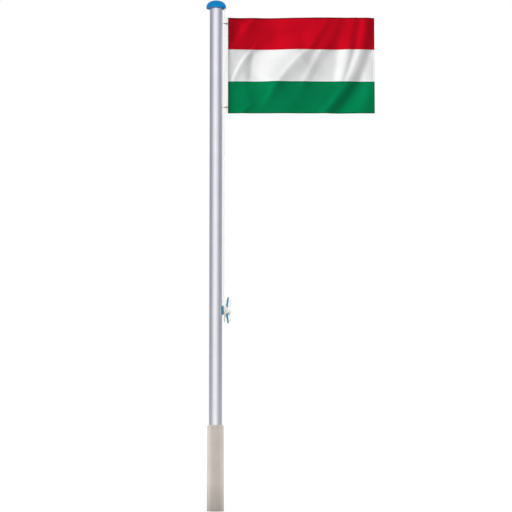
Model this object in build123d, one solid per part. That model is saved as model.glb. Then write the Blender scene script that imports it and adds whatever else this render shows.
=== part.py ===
"""Flagpole: an aluminium mast in a ground sleeve, with a capped sheave, halyard, cleat and flag.

Millimetres, +Z up. The origin is the centre of the sleeve's bottom face. The flag flies along +X, and
the halyard and its cleat are on the +X side of the mast. Each sub-part is written to parts/NODE.step.
"""
import os
from math import cos, pi, radians, sin

from build123d import *

# Clearances
FIT_GAP = 0.3            # between seated or plugged pieces
SLEEVE_PLAY = 1.5        # between the mast and what guides it in the sleeve
ROPE_GAP = 0.3           # between the rope and what it lies against

# Mast
MAST_DIAMETER = 131.0
MAST_WALL = 3.0
MAST_LENGTH = 5101.0     # the tube alone
FOOT_FLANGE = 5.0        # thickness of the foot plug's flange under the tube
FOOT_PLUG_DEPTH = 40.0

# Ground sleeve
SLEEVE_HEIGHT = 862.0    # bottom face to the top of its ring
SLEEVE_GAP = 12.5        # between the mast and the sleeve's wall, at the head
SLEEVE_WALL = 5.0
SLEEVE_DRAFT = 3.0       # how much wider the radius is at the foot
END_CAP_HEIGHT = 27.5
END_CAP_LIP = 0.7        # how far the end cap stands out past the tube
END_CAP_FLOOR = 20.0     # thickness under the mast
END_CAP_PLUG = 32.0
RING_STRAIGHT = 10.0
RING_BEVEL_HEIGHT = 16.0
RING_BEVEL_WIDTH = 10.5
RING_PLUG = 50.0
SET_SCREW_DIAMETER = 8.0
SET_SCREW_SPREAD = 35.0  # degrees between the two screws of a pair
SET_SCREW_SOCKET = 4.0   # across the hexagon's flats, and its depth
SET_SCREW_SINK = 0.8     # how far the screw's end lies below the ring's face

# Halyard and cleat
ROPE_DIAMETER = 8.0
CLEAT_ABOVE_FOOT = 1999.0
CLEAT_LENGTH = 268.0     # from horn tip to horn tip
PLATE_HEIGHT = 92.0
PLATE_WIDTH = 44.0
PLATE_THICKNESS = 13.5
PLATE_CORNER = 9.0
PLATE_ROUNDING = 3.0
NECK_WIDTH = 19.0
NECK_LENGTH = 47.0
HORN_STANDOFF = 46.5     # from the mast's surface to the middle of the horns
HORN_DIAMETER = 22.0
HORN_TIP_DIAMETER = 17.0
HORN_FLARE = 14.0        # how much further out the tips are than the middle
CLEAT_SCREW_DIAMETER = 5.0
CLEAT_SCREW_HEAD = 9.0
CLEAT_SCREW_HEAD_HEIGHT = 3.0
CLEAT_SCREW_EDGE = 8.0   # from the plate's edge to the screw
TURN_BACK = 10.0         # how far a turn's back stands out past the strands
TURN_REACH = 100.0       # height from a turn's back to its front
TURN_SLACK = 2.0         # how loosely a turn's front lies on the horns
# The rope's turns on the cleat, innermost first: the layer, and the height of the turn's back from the
# cleat's middle, which is under the upper horn where it is positive and over the lower horn below it
TURNS = [(0, 64.0), (0, 90.0), (1, -72.0), (1, -93.0), (2, 108.0)]

# Top cap and sheave
CAP_RECESS = 6.0         # depth of the cap's hollow underside
CAP_LIP = 6.0
CAP_RIM_WALL = 11.5      # from the sheave to the cap's rim
CAP_RIM_HEIGHT = 14.0
CAP_RIM_ROUNDING = 4.0
CAP_DOME_HEIGHT = 67.5
CAP_PLUG = 60.0
SHEAVE_WIDTH = 13.0
SHEAVE_RISE = 8.0        # height of the sheave's middle above the cap's underside
SHEAVE_FLANGE = 1.5      # how far the flanges reach past the rope's centreline
SHEAVE_PLAY = 1.0        # on each side and over the rope
SHEAVE_CHEEK = 6.0       # wall of the housing beside the sheave
HOUSING_INSET = 3.0      # from the cap's rim to the housing's end
PIN_DIAMETER = 5.0
PIN_INSET = 4.5          # from the mast's surface and from the rim to the pin's ends

# Flag and its snap hooks
FLAG_DROP = 99.0         # from the cap's underside to the flag's top
FLAG_HOIST = 991.0       # height
FLAG_FLY = 1494.0        # length past the heading, as it flies
FLAG_WAVES = 5
FLAG_WAVE_HEIGHT = 22.0
CLOTH_THICKNESS = 3.0
HEADING_WIDTH = 30.5
HEADING_GAP = 0.8        # from the snap's rope eye to the heading
GROMMET_INSET = 64.0     # from the flag's edge to the grommet
GROMMET_EDGE = 14.5      # from the heading's free side to the grommet
GROMMET_BORE = 13.6
GROMMET_FLANGE = 25.0
GROMMET_BARREL = 1.2
GROMMET_RIM = 1.0
EYE_BORE = 12.0
EYE_WIRE = 5.0
HOOK_WIRE = 4.8
HOOK_WIDTH = 14.0        # of the hook's loop, between the middles of its two sides
HOOK_REACH = 2.0         # how far the loop reaches past the grommet's middle
GATE_WIRE = 4.0
GATE_LENGTH = 8.0
GATE_PLAY = 0.2
GATE_END = 1.2           # of the hook's side, left between the gate and the bend

# Places that follow from the sizes
mast_r = MAST_DIAMETER / 2
bore_r = mast_r - MAST_WALL
guide_r = mast_r + SLEEVE_PLAY
sleeve_head_r = mast_r + SLEEVE_GAP + SLEEVE_WALL
sleeve_foot_r = sleeve_head_r + SLEEVE_DRAFT
rope_r = ROPE_DIAMETER / 2

foot_z = END_CAP_FLOOR
tube_z = foot_z + FOOT_FLANGE
tube_top = tube_z + MAST_LENGTH
ring_z = SLEEVE_HEIGHT - RING_STRAIGHT - RING_BEVEL_HEIGHT
cap_z = tube_top - CAP_RECESS
sheave_z = cap_z + SHEAVE_RISE
rim_top = cap_z + CAP_RIM_HEIGHT
cleat_z = foot_z + CLEAT_ABOVE_FOOT

plate_x = mast_r + PLATE_THICKNESS
strand_x = plate_x + rope_r + 2 * ROPE_GAP
strand_y = NECK_WIDTH / 2 + rope_r + ROPE_GAP
horn_x = mast_r + HORN_STANDOFF
cap_r = strand_x + SHEAVE_WIDTH / 2 + CAP_RIM_WALL
pocket_half = strand_y + rope_r + SHEAVE_PLAY    # half the sheave pocket's length along Y

eye_x = strand_x + EYE_BORE / 2 - rope_r - FIT_GAP
heading_x = eye_x + EYE_BORE / 2 + EYE_WIRE + HEADING_GAP
fly_x = heading_x + HEADING_WIDTH
grommet_x = heading_x + GROMMET_EDGE
flag_y = -strand_y
flag_top = cap_z - FLAG_DROP
flag_foot = flag_top - FLAG_HOIST
band_height = FLAG_HOIST / 3
grommet_heights = {"upper": flag_top - GROMMET_INSET, "lower": flag_foot + GROMMET_INSET}


def disc(radius, low, high):
    """An upright cylinder on the mast's axis."""
    return Pos(0, 0, low) * Cylinder(radius, high - low, align=(Align.CENTER, Align.CENTER, Align.MIN))


def cone(low_r, high_r, low, high):
    """An upright cone on the mast's axis."""
    return Pos(0, 0, low) * Cone(low_r, high_r, high - low, align=(Align.CENTER, Align.CENTER, Align.MIN))


def bar(start, end, start_r, end_r=None):
    """A round bar between two points, tapered where end_r is given."""
    start, end = Vector(*start), Vector(*end)
    place = Plane(origin=start, z_dir=end - start).location
    base = (Align.CENTER, Align.CENTER, Align.MIN)
    if end_r is None:
        return place * Cylinder(start_r, (end - start).length, align=base)
    return place * Cone(start_r, end_r, (end - start).length, align=base)


# Ground sleeve

def sleeve_tube():
    outside = cone(sleeve_foot_r, sleeve_head_r, END_CAP_HEIGHT, ring_z)
    inside = cone(sleeve_foot_r - SLEEVE_WALL, sleeve_head_r - SLEEVE_WALL, END_CAP_HEIGHT, ring_z)
    return outside - inside


def sleeve_end_cap():
    flange = disc(sleeve_foot_r + END_CAP_LIP, 0, END_CAP_HEIGHT)
    flange = chamfer(flange.edges().group_by(Axis.Z)[0], END_CAP_LIP)
    plug = disc(sleeve_foot_r - SLEEVE_WALL - FIT_GAP, 0, END_CAP_HEIGHT + END_CAP_PLUG)
    seat = disc(guide_r, END_CAP_FLOOR, END_CAP_HEIGHT + END_CAP_PLUG)
    return flange + plug - seat


def set_screw_angles():
    half = SET_SCREW_SPREAD / 2
    return [side + turn for side in (-90, 90) for turn in (-half, half)]


def set_screw_line(angle, radius):
    """The point at a radius on a set screw's axis."""
    return (radius * cos(radians(angle)), radius * sin(radians(angle)), ring_z + RING_STRAIGHT / 2)


def sleeve_ring():
    straight = disc(sleeve_head_r, ring_z, ring_z + RING_STRAIGHT)
    bevel = cone(sleeve_head_r, sleeve_head_r - RING_BEVEL_WIDTH, ring_z + RING_STRAIGHT, SLEEVE_HEIGHT)
    plug = disc(sleeve_head_r - SLEEVE_WALL - FIT_GAP, ring_z - RING_PLUG, ring_z)
    ring = straight + bevel + plug - disc(guide_r, ring_z - RING_PLUG, SLEEVE_HEIGHT)
    for angle in set_screw_angles():
        ring -= bar(set_screw_line(angle, mast_r), set_screw_line(angle, sleeve_head_r + SLEEVE_WALL),
                    SET_SCREW_DIAMETER / 2 + FIT_GAP / 2)
    return ring


def set_screw(angle):
    inner = set_screw_line(angle, mast_r + FIT_GAP)
    outer = set_screw_line(angle, sleeve_head_r - SET_SCREW_SINK)
    head = Plane(origin=outer, z_dir=Vector(*inner) - Vector(*outer))
    socket = extrude(head * RegularPolygon(SET_SCREW_SOCKET / 2, 6, major_radius=False), SET_SCREW_SOCKET)
    return bar(inner, outer, SET_SCREW_DIAMETER / 2) - socket


# Mast

def cleat_screw_heights():
    reach = PLATE_HEIGHT / 2 - CLEAT_SCREW_EDGE
    return {"upper": cleat_z + reach, "lower": cleat_z - reach}


def cleat_screw_hole(height):
    return bar((bore_r - MAST_WALL, 0, height), (plate_x + MAST_WALL, 0, height),
               CLEAT_SCREW_DIAMETER / 2 + FIT_GAP / 2)


def mast_tube():
    tube = disc(mast_r, tube_z, tube_top) - disc(bore_r, tube_z, tube_top)
    for height in cleat_screw_heights().values():
        tube -= cleat_screw_hole(height)
    return tube


def mast_foot():
    return disc(mast_r, foot_z, tube_z) + disc(bore_r - FIT_GAP, tube_z, tube_z + FOOT_PLUG_DEPTH)


def cap_dome():
    """The cap's outside: a rim with a rounded lower edge under half an ellipsoid."""
    rim = disc(cap_r, cap_z, rim_top)
    rim = fillet(rim.edges().group_by(Axis.Z)[0], CAP_RIM_ROUNDING)
    quarter = Rectangle(cap_r, CAP_DOME_HEIGHT, align=(Align.MIN, Align.MIN))
    return rim + revolve(Plane.XZ * Pos(0, rim_top) * (Ellipse(cap_r, CAP_DOME_HEIGHT) & quarter), Axis.Z)


def sheave_housing():
    """The block in the cap's hollow, on the halyard's side, that the sheave's pocket is cut into."""
    inner_r, outer_r = mast_r + FIT_GAP, cap_r - HOUSING_INSET
    block = Pos(inner_r, 0, cap_z) * Box(
        outer_r - inner_r, 2 * (strand_y + SHEAVE_FLANGE + SHEAVE_PLAY + SHEAVE_CHEEK), CAP_RECESS,
        align=(Align.MIN, Align.CENTER, Align.MIN))
    return (block & disc(outer_r, cap_z, tube_top)) - disc(inner_r, cap_z, tube_top)


def top_cap():
    cap = cap_dome() - disc(cap_r - CAP_LIP, cap_z, tube_top)
    cap += disc(bore_r - FIT_GAP, tube_top - CAP_PLUG, tube_top)
    cap += sheave_housing()
    cap -= Pos(strand_x, 0, cap_z) * Box(
        SHEAVE_WIDTH + 2 * SHEAVE_PLAY, 2 * pocket_half, SHEAVE_RISE + pocket_half,
        align=(Align.CENTER, Align.CENTER, Align.MIN))
    return cap - sheave_pin_bar(PIN_DIAMETER / 2 + FIT_GAP / 2)


def sheave_pin_bar(radius):
    return bar((mast_r + PIN_INSET, 0, sheave_z), (cap_r - PIN_INSET, 0, sheave_z), radius)


def sheave():
    half = SHEAVE_WIDTH / 2
    wheel = bar((strand_x - half, 0, sheave_z), (strand_x + half, 0, sheave_z), strand_y + SHEAVE_FLANGE)
    groove = Pos(strand_x, 0, sheave_z) * Rot(0, 90, 0) * Torus(strand_y, rope_r + FIT_GAP)
    return wheel - groove - sheave_pin_bar(PIN_DIAMETER / 2 + FIT_GAP / 2)


# Cleat

def cleat():
    plate_plane = Plane(origin=(0, 0, cleat_z), x_dir=(0, 0, 1), z_dir=(1, 0, 0))
    plate = extrude(plate_plane * RectangleRounded(PLATE_HEIGHT, PLATE_WIDTH, PLATE_CORNER), plate_x)
    plate = fillet(plate.edges().group_by(Axis.X)[-1], PLATE_ROUNDING)
    neck = extrude(plate_plane * SlotOverall(NECK_LENGTH, NECK_WIDTH), horn_x)
    body = plate + neck - disc(mast_r + FIT_GAP, cleat_z - PLATE_HEIGHT, cleat_z + PLATE_HEIGHT)
    half_neck = NECK_LENGTH / 2
    middle_r, tip_r = HORN_DIAMETER / 2, HORN_TIP_DIAMETER / 2
    body += bar((horn_x, 0, cleat_z - half_neck), (horn_x, 0, cleat_z + half_neck), middle_r)
    tip_rise = CLEAT_LENGTH / 2 - tip_r
    for side in (-1, 1):
        root = (horn_x, 0, cleat_z + side * half_neck)
        tip = (horn_x + HORN_FLARE, 0, cleat_z + side * tip_rise)
        body += Pos(*root) * Sphere(middle_r) + bar(root, tip, middle_r, tip_r) + Pos(*tip) * Sphere(tip_r)
    for height in cleat_screw_heights().values():
        body -= cleat_screw_hole(height)
    return body


def cleat_screw(height):
    shank = bar((bore_r - MAST_WALL / 2, 0, height), (plate_x, 0, height), CLEAT_SCREW_DIAMETER / 2)
    head = bar((plate_x, 0, height), (plate_x + CLEAT_SCREW_HEAD_HEIGHT, 0, height), CLEAT_SCREW_HEAD / 2)
    head = fillet(head.edges().group_by(Axis.X)[-1], CLEAT_SCREW_HEAD_HEIGHT / 2)
    return shank + head


# Halyard: an endless loop over the sheave and under the cleat's neck, with turns laid on the cleat

def strand(side):
    return bar((strand_x, side * strand_y, loop_foot_z()), (strand_x, side * strand_y, sheave_z), rope_r)


def loop_foot_z():
    """The height of the middle of the bend under the cleat's neck."""
    return cleat_z - NECK_LENGTH / 2 + NECK_WIDTH / 2


def bight(height, upper):
    """The half ring of rope over the sheave, or under the neck."""
    ring = Pos(strand_x, 0, height) * Rot(0, 90, 0) * Torus(strand_y, rope_r)
    span = 2 * (strand_y + ROPE_DIAMETER)
    base = Align.MIN if upper else Align.MAX
    return ring & (Pos(strand_x, 0, height) * Box(span, span, span, align=(Align.CENTER, Align.CENTER, base)))


def turn(layer, back_height):
    """One oval turn: its back lies between a horn and the mast, and its front crosses the cleat."""
    side = 1 if back_height > 0 else -1
    layer_step = layer * (ROPE_DIAMETER + ROPE_GAP)
    half_width = HORN_DIAMETER / 2 + rope_r + ROPE_GAP + layer_step
    back_x = strand_x + TURN_BACK
    front_x = horn_x + HORN_DIAMETER / 2 + TURN_SLACK + rope_r + layer_step
    lean = Vector(front_x - back_x, 0, -side * TURN_REACH)
    middle = Vector(back_x, 0, cleat_z + back_height) + lean * 0.5
    place = Plane(origin=middle, x_dir=lean, z_dir=lean.cross(Vector(0, 1, 0)))
    path = (place * SlotCenterToCenter(lean.length - 2 * half_width, 2 * half_width)).face().outer_wire()
    section = Plane(origin=path @ 0, z_dir=path % 0) * Circle(rope_r)
    return sweep(section, path=path)


# Flag

def wave_edge(offset):
    """The flag's edge seen from above, through its crests and hollows."""
    quarter = FLAG_FLY / (4 * FLAG_WAVES)
    points = [(fly_x, flag_y + offset)]
    for step in range(1, 4 * FLAG_WAVES + 1):
        swell = FLAG_WAVE_HEIGHT * min(1, step / 4) * sin(step * pi / 2)
        points.append((fly_x + step * quarter, flag_y + offset + swell))
    return Spline(*points, tangents=[(1, 0), (1, 0)])


def flag_band(number):
    """Band 0 is the lowest."""
    half = CLOTH_THICKNESS / 2
    front, back = wave_edge(-half), wave_edge(half)
    outline = front + Line(front @ 1, back @ 1) + back + Line(back @ 0, front @ 0)
    low = flag_foot + number * band_height
    return extrude(Pos(0, 0, low) * make_face(outline), band_height)


def flag_heading():
    heading = Pos(heading_x, flag_y, flag_foot) * Box(
        HEADING_WIDTH, CLOTH_THICKNESS, FLAG_HOIST, align=(Align.MIN, Align.CENTER, Align.MIN))
    for height in grommet_heights.values():
        heading -= grommet_bar(height, GROMMET_BORE / 2 + GROMMET_BARREL + FIT_GAP / 2, CLOTH_THICKNESS)
    return heading


def grommet_bar(height, radius, half_length):
    """A cylinder through the heading at a grommet."""
    return bar((grommet_x, flag_y - half_length, height), (grommet_x, flag_y + half_length, height), radius)


def grommet(height):
    half = CLOTH_THICKNESS / 2
    barrel = grommet_bar(height, GROMMET_BORE / 2 + GROMMET_BARREL, half)
    flanges = grommet_bar(height, GROMMET_FLANGE / 2, half + GROMMET_RIM)
    flanges -= grommet_bar(height, GROMMET_FLANGE / 2, half)
    return barrel + flanges - grommet_bar(height, GROMMET_BORE / 2, CLOTH_THICKNESS)


def hook_bend_x():
    """Where the hook's two sides meet the bend that goes through the grommet."""
    return grommet_x + HOOK_REACH - HOOK_WIDTH / 2


def hook_path(height):
    """The hook's centreline: from the rope eye, through the grommet and back to the eye."""
    half = HOOK_WIDTH / 2
    eye_ring = (EYE_BORE + EYE_WIRE) / 2
    start, bend = eye_x + (eye_ring ** 2 - half ** 2) ** 0.5, hook_bend_x()
    near, far = flag_y - half, flag_y + half
    path = Line((start, near), (bend, near))
    path += ThreePointArc((bend, near), (bend + half, flag_y), (bend, far))
    path += Line((bend, far), (start, far))
    return Pos(0, 0, height) * path


def hook_height(which):
    """The hook bears on the grommet's edge away from the flag's middle."""
    side = 1 if which == "upper" else -1
    reach = GROMMET_BORE / 2 - HOOK_WIRE / 2 - FIT_GAP
    return grommet_heights[which] + side * (reach ** 2 - HOOK_REACH ** 2) ** 0.5


def gate_middle(which):
    return hook_bend_x() - GATE_LENGTH / 2 - GATE_END, flag_y + HOOK_WIDTH / 2, hook_height(which)


def snap_hook(which):
    height = hook_height(which)
    eye = Pos(eye_x, flag_y, height) * Torus((EYE_BORE + EYE_WIRE) / 2, EYE_WIRE / 2)
    path = hook_path(height)
    hook = sweep(Plane(origin=path @ 0, z_dir=path % 0) * Circle(HOOK_WIRE / 2), path=path)
    opening = Pos(*gate_middle(which)) * Box(GATE_LENGTH + 2 * GATE_PLAY, HOOK_WIDTH, 2 * HOOK_WIRE)
    return eye + (hook - opening)


def snap_gate(which):
    x, y, z = gate_middle(which)
    return bar((x - GATE_LENGTH / 2, y, z), (x + GATE_LENGTH / 2, y, z), GATE_WIRE / 2)


parts = {
    "sleeve_tube": sleeve_tube(),
    "sleeve_end_cap": sleeve_end_cap(),
    "sleeve_ring": sleeve_ring(),
    "mast_tube": mast_tube(),
    "mast_foot": mast_foot(),
    "top_cap": top_cap(),
    "halyard_sheave": sheave(),
    "sheave_pin": sheave_pin_bar(PIN_DIAMETER / 2),
    "cleat": cleat(),
    "halyard_hoist_strand": strand(-1),
    "halyard_return_strand": strand(1),
    "halyard_head_bight": bight(sheave_z, True),
    "halyard_foot_bight": bight(loop_foot_z(), False),
    "flag_heading": flag_heading(),
    "flag_green_band": flag_band(0),
    "flag_white_band": flag_band(1),
    "flag_red_band": flag_band(2),
}
for number, angle in enumerate(set_screw_angles(), 1):
    parts[f"set_screw_{number}"] = set_screw(angle)
for name, height in cleat_screw_heights().items():
    parts[f"cleat_screw_{name}"] = cleat_screw(height)
for number, (layer, back_height) in enumerate(TURNS, 1):
    parts[f"halyard_turn_{number}"] = turn(layer, back_height)
for name, height in grommet_heights.items():
    parts[f"grommet_{name}"] = grommet(height)
    parts[f"snap_hook_{name}"] = snap_hook(name)
    parts[f"snap_gate_{name}"] = snap_gate(name)

os.makedirs("parts", exist_ok=True)
for name, shape in parts.items():
    export_step(shape, f"parts/{name}.step")
    print(name, round(shape.volume / 1000, 2), "cm3")
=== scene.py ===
"""Dresses the flagpole: its mast, ground sleeve, cap, cleat, halyard and flag, with a plain studio.

Metres, +Z up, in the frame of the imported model: the origin is the centre of the sleeve's bottom face,
the flag flies along +X, and the viewer stands on the -Y side. Each piece stays at the origin with its
place in its mesh.
"""
from math import atan2, ceil, cos, pi, radians, sin, sqrt, tan

import bmesh
import bpy
import numpy as np
from bpy.props import FloatProperty, FloatVectorProperty, IntProperty, PointerProperty
from mathutils import Matrix, Vector


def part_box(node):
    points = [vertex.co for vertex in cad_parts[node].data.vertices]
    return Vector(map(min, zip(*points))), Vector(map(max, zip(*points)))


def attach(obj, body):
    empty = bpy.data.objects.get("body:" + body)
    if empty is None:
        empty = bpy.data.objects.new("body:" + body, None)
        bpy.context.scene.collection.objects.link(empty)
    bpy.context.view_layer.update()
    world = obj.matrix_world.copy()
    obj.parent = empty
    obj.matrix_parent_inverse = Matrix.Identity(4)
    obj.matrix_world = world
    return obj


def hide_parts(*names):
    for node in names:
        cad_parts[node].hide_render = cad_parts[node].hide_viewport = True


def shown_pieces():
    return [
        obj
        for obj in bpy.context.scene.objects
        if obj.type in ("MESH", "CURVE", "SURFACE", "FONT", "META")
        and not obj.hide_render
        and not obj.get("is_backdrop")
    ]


bl_info = {
    "name": "Flagpole",
    "version": (1, 0, 0),
    "blender": (4, 5, 0),
    "location": "3D View > Sidebar > Flagpole",
    "description": "Builds the finished pieces of a flagpole around its frame",
    "category": "Object",
}

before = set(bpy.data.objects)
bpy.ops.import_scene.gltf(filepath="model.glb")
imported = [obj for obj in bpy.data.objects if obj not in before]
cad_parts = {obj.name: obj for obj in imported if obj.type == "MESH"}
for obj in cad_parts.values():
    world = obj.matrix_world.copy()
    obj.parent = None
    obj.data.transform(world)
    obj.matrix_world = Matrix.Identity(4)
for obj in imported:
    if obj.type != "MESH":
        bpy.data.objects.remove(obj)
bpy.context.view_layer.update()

# Places that the pieces share, from the frame
mast_low, mast_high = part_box("mast_tube")
cap_low, cap_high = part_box("top_cap")
sheave_low, sheave_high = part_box("halyard_sheave")
strand_low, strand_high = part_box("halyard_hoist_strand")
cleat_low, cleat_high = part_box("cleat")
heading_low, heading_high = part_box("flag_heading")
band_low, band_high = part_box("flag_red_band")
foot_low, foot_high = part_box("sleeve_end_cap")
wall_low, wall_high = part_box("sleeve_tube")
ring_low, ring_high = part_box("sleeve_ring")

MAST_RADIUS = mast_high.x
ROPE_RADIUS = (strand_high.x - strand_low.x) / 2
STRAND_X = (strand_high.x + strand_low.x) / 2
STRAND_Y = -(strand_high.y + strand_low.y) / 2
SHEAVE_Z = (sheave_high.z + sheave_low.z) / 2
CLEAT_Z = (cleat_high.z + cleat_low.z) / 2
FLAG_Y = (heading_high.y + heading_low.y) / 2
FLAG_FLY = band_high.x - band_low.x
FLAG_HOIST = heading_high.z - heading_low.z
TAPE_HALF = (heading_high.y - heading_low.y) / 2
TUBE_WALL = 0.003        # thickness of the mast's wall
PLAY = 0.0003            # gap between pieces that fit into each other
SET_SCREWS = [f"set_screw_{number}" for number in range(1, 5)]


def middle(node):
    """The middle of a frame node's box."""
    low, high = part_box(node)
    return (low + high) / 2


def towards(node, distance):
    """The direction from the mast's axis to a frame node, and the place at a distance that way."""
    centre = middle(node)
    outwards = Vector((centre.x, centre.y, 0)).normalized()
    return outwards, Vector((0, 0, centre.z)) + outwards * distance


def paint(red, green, blue):
    """The linear colour that a shader takes, from one written for a screen, 0 to 255."""
    def channel(value):
        value /= 255
        return value / 12.92 if value <= 0.04045 else ((value + 0.055) / 1.055) ** 2.4
    return channel(red), channel(green), channel(blue)


def size(name, metres, description):
    return FloatProperty(
        name=name, description=description, default=metres, min=0, precision=4, unit="LENGTH")


def colour(name, value, description):
    return FloatVectorProperty(
        name=name, description=description, default=value, size=3, min=0, max=1, subtype="COLOR")


def share(name, value, description):
    return FloatProperty(
        name=name, description=description, default=value, min=0, max=1, subtype="FACTOR")


# ------------------------------ settings

class MastSettings(bpy.types.PropertyGroup):
    metal: colour("Metal", paint(248, 248, 255), "Colour of the anodised tube")
    roughness: share("Roughness", 0.24, "How blurred the tube's reflections are")
    plug: colour("Foot Plug", paint(38, 39, 42), "Colour of the plug that closes the tube's foot")


class SleeveSettings(bpy.types.PropertyGroup):
    plastic: colour("Plastic", paint(195, 186, 178), "Colour of the moulded sleeve")
    wall: size("Wall", 0.005, "Thickness of the tube's wall")
    edge: size("Edge Rounding", 0.0012, "Rounding of the sleeve's edges")
    groove: size("Groove", 0.0015, "Width and depth of the groove where two mouldings meet")
    screw: colour("Set Screws", paint(44, 45, 48), "Colour of the blackened set screws")


class CapSettings(bpy.types.PropertyGroup):
    plastic: colour("Plastic", paint(0, 140, 210), "Colour of the moulded cap")
    recess: size("Recess", 0.006, "Depth of the hollow underside")
    lip: size("Lip", 0.006, "Width of the rim round the hollow underside")
    rim: size("Rim", 0.014, "Height of the straight rim under the dome")
    wheel: colour("Wheel", paint(52, 53, 56), "Colour of the halyard's nylon wheel")


class CleatSettings(bpy.types.PropertyGroup):
    plastic: colour("Plastic", paint(78, 147, 176), "Colour of the moulded cleat")
    grain: size("Blend Grain", 0.0013, "Cell size of the mesh that rounds the cleat's inner corners")
    softening: IntProperty(
        name="Softening", description="Smoothing passes over the cleat", default=8, min=0)
    head: size("Screw Head", 0.009, "Diameter of the fixing screws' heads")
    head_height: size("Screw Head Height", 0.003, "Height of the fixing screws' heads")


class HalyardSettings(bpy.types.PropertyGroup):
    yarn: colour("Yarn", paint(251, 251, 248), "Colour of the braided rope")
    standoff: size("Horn Standoff", 0.0465, "From the mast's surface to the middle of the cleat's horns")
    flare: size("Horn Flare", 0.014, "How much further out the horns' tips are than their middle")
    horn: size("Horn Radius", 0.011, "Radius of the horns where they meet")
    horn_tip: size("Horn Tip Radius", 0.0085, "Radius of the horns' tips")
    plaits: IntProperty(name="Plaits", description="Yarn bundles round the rope", default=16, min=4)
    plait_length: size("Plait Length", 0.011, "Length of rope in which a bundle goes once round")


class FlagSettings(bpy.types.PropertyGroup):
    red: colour("Red", paint(212, 6, 33), "Colour of the upper band")
    white: colour("White", paint(251, 252, 253), "Colour of the middle band")
    green: colour("Green", paint(0, 135, 84), "Colour of the lower band")
    tape: colour("Tape", paint(250, 250, 248), "Colour of the heading tape")
    cloth: size("Cloth", 0.0008, "Thickness of the cloth")
    hem: size("Hem", 0.011, "Width of the folded hems and seams")
    lap: size("Lap", 0.005, "How far the cloth goes over the heading tape")
    fullness: share("Fullness", 1.0, "How deep the folds are")
    stitch: size("Stitch", 0.0038, "Distance from one stitch to the next")
    grommet: colour("Grommet", paint(184, 168, 138), "Colour of the dull nickelled brass")
    snap: colour("Snap", paint(100, 103, 96), "Colour of the snap hooks' steel")


class StudioSettings(bpy.types.PropertyGroup):
    eye_level: size("Eye Level", 0.95, "Height of the camera above the floor")
    distance: size("Distance", 19.0, "Distance from the mast to the camera")
    aside: size("Aside", 0.4085, "How far the camera stands to the right of the mast")
    lens: FloatProperty(name="Lens", description="Focal length in millimetres", default=132.1, min=20)
    tilt: FloatProperty(name="Tilt", description="How far the camera looks up", default=radians(4.874),
                        subtype="ANGLE")
    ambient: share("Ambient", 0.35, "Level of the light from all round")
    sides: share("Sides", 0.38, "Level that shiny surfaces see at the sides of the studio")
    behind: share("Behind", 0.5, "Level that shiny surfaces see behind the flagpole")
    key: FloatProperty(name="Key", description="How far to the left the brightest reflections come from",
                       default=radians(8), subtype="ANGLE")
    low: share("Low", 0.9, "Share of that level that is left near the horizon")
    low_to: share("Low To", 0.075, "Rise of the direction in which the level is whole")
    floor: size("Floor", 120.0, "Radius of the floor")


GROUPS = {
    "flagpole_mast": MastSettings,
    "flagpole_sleeve": SleeveSettings,
    "flagpole_cap": CapSettings,
    "flagpole_cleat": CleatSettings,
    "flagpole_halyard": HalyardSettings,
    "flagpole_flag": FlagSettings,
    "flagpole_studio": StudioSettings,
}


# ------------------------------ meshes, general

def new_piece(name, mesh, material=None):
    """An object for a mesh, in the scene."""
    piece = bpy.data.objects.new(name, mesh)
    bpy.context.scene.collection.objects.link(piece)
    if material:
        mesh.materials.clear()
        mesh.materials.append(material)
    return piece


def finished(name, mesh, material, body, slot_name, *nodes):
    """A piece that rides on a body, wears the given material and stands for frame nodes. Its slot name
    is not used.
    """
    piece = new_piece(name, mesh, material)
    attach(piece, body)
    if nodes:
        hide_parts(*nodes)
    return piece


def smooth(mesh):
    """The mesh shaded smooth all over."""
    mesh.polygons.foreach_set("use_smooth", np.ones(len(mesh.polygons), bool))
    return mesh


def smooth_by_angle(mesh, crease=35):
    """The mesh shaded smooth but for edges sharper than the crease angle in degrees."""
    smooth(mesh).set_sharp_from_angle(angle=radians(crease))
    return mesh


def welded(mesh):
    """The mesh with the points that fall together made one, and its normals outwards."""
    work = bmesh.new()
    work.from_mesh(mesh)
    bmesh.ops.remove_doubles(work, verts=work.verts, dist=1e-6)
    bmesh.ops.recalc_face_normals(work, faces=work.faces)
    work.to_mesh(mesh)
    work.free()
    return mesh


def mesh_from(name, points, faces):
    """A mesh with its normals outwards and its sharp edges marked."""
    mesh = bpy.data.meshes.new(name)
    mesh.from_pydata([tuple(p) for p in points], [], faces)
    return smooth_by_angle(welded(mesh))


def fillet(corners, steps=5):
    """An outline through (x, y, rounding) corners, with an arc of that radius at each rounded one."""
    outline = []
    count = len(corners)
    for i, (x, y, rounding) in enumerate(corners):
        here = Vector((x, y))
        if rounding == 0:
            outline.append((x, y))
            continue
        before = (Vector(corners[i - 1][:2]) - here).normalized()
        after = (Vector(corners[(i + 1) % count][:2]) - here).normalized()
        half = before.angle(after) / 2
        centre = here + (before + after).normalized() * (rounding / sin(half))
        start = here + before * (rounding / tan(half)) - centre
        sweep = start.angle_signed(here + after * (rounding / tan(half)) - centre)
        for step in range(steps + 1):
            spoke = start.copy()
            spoke.rotate(Matrix.Rotation(-sweep * step / steps, 2))
            outline.append(tuple(centre + spoke))
    return outline


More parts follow.
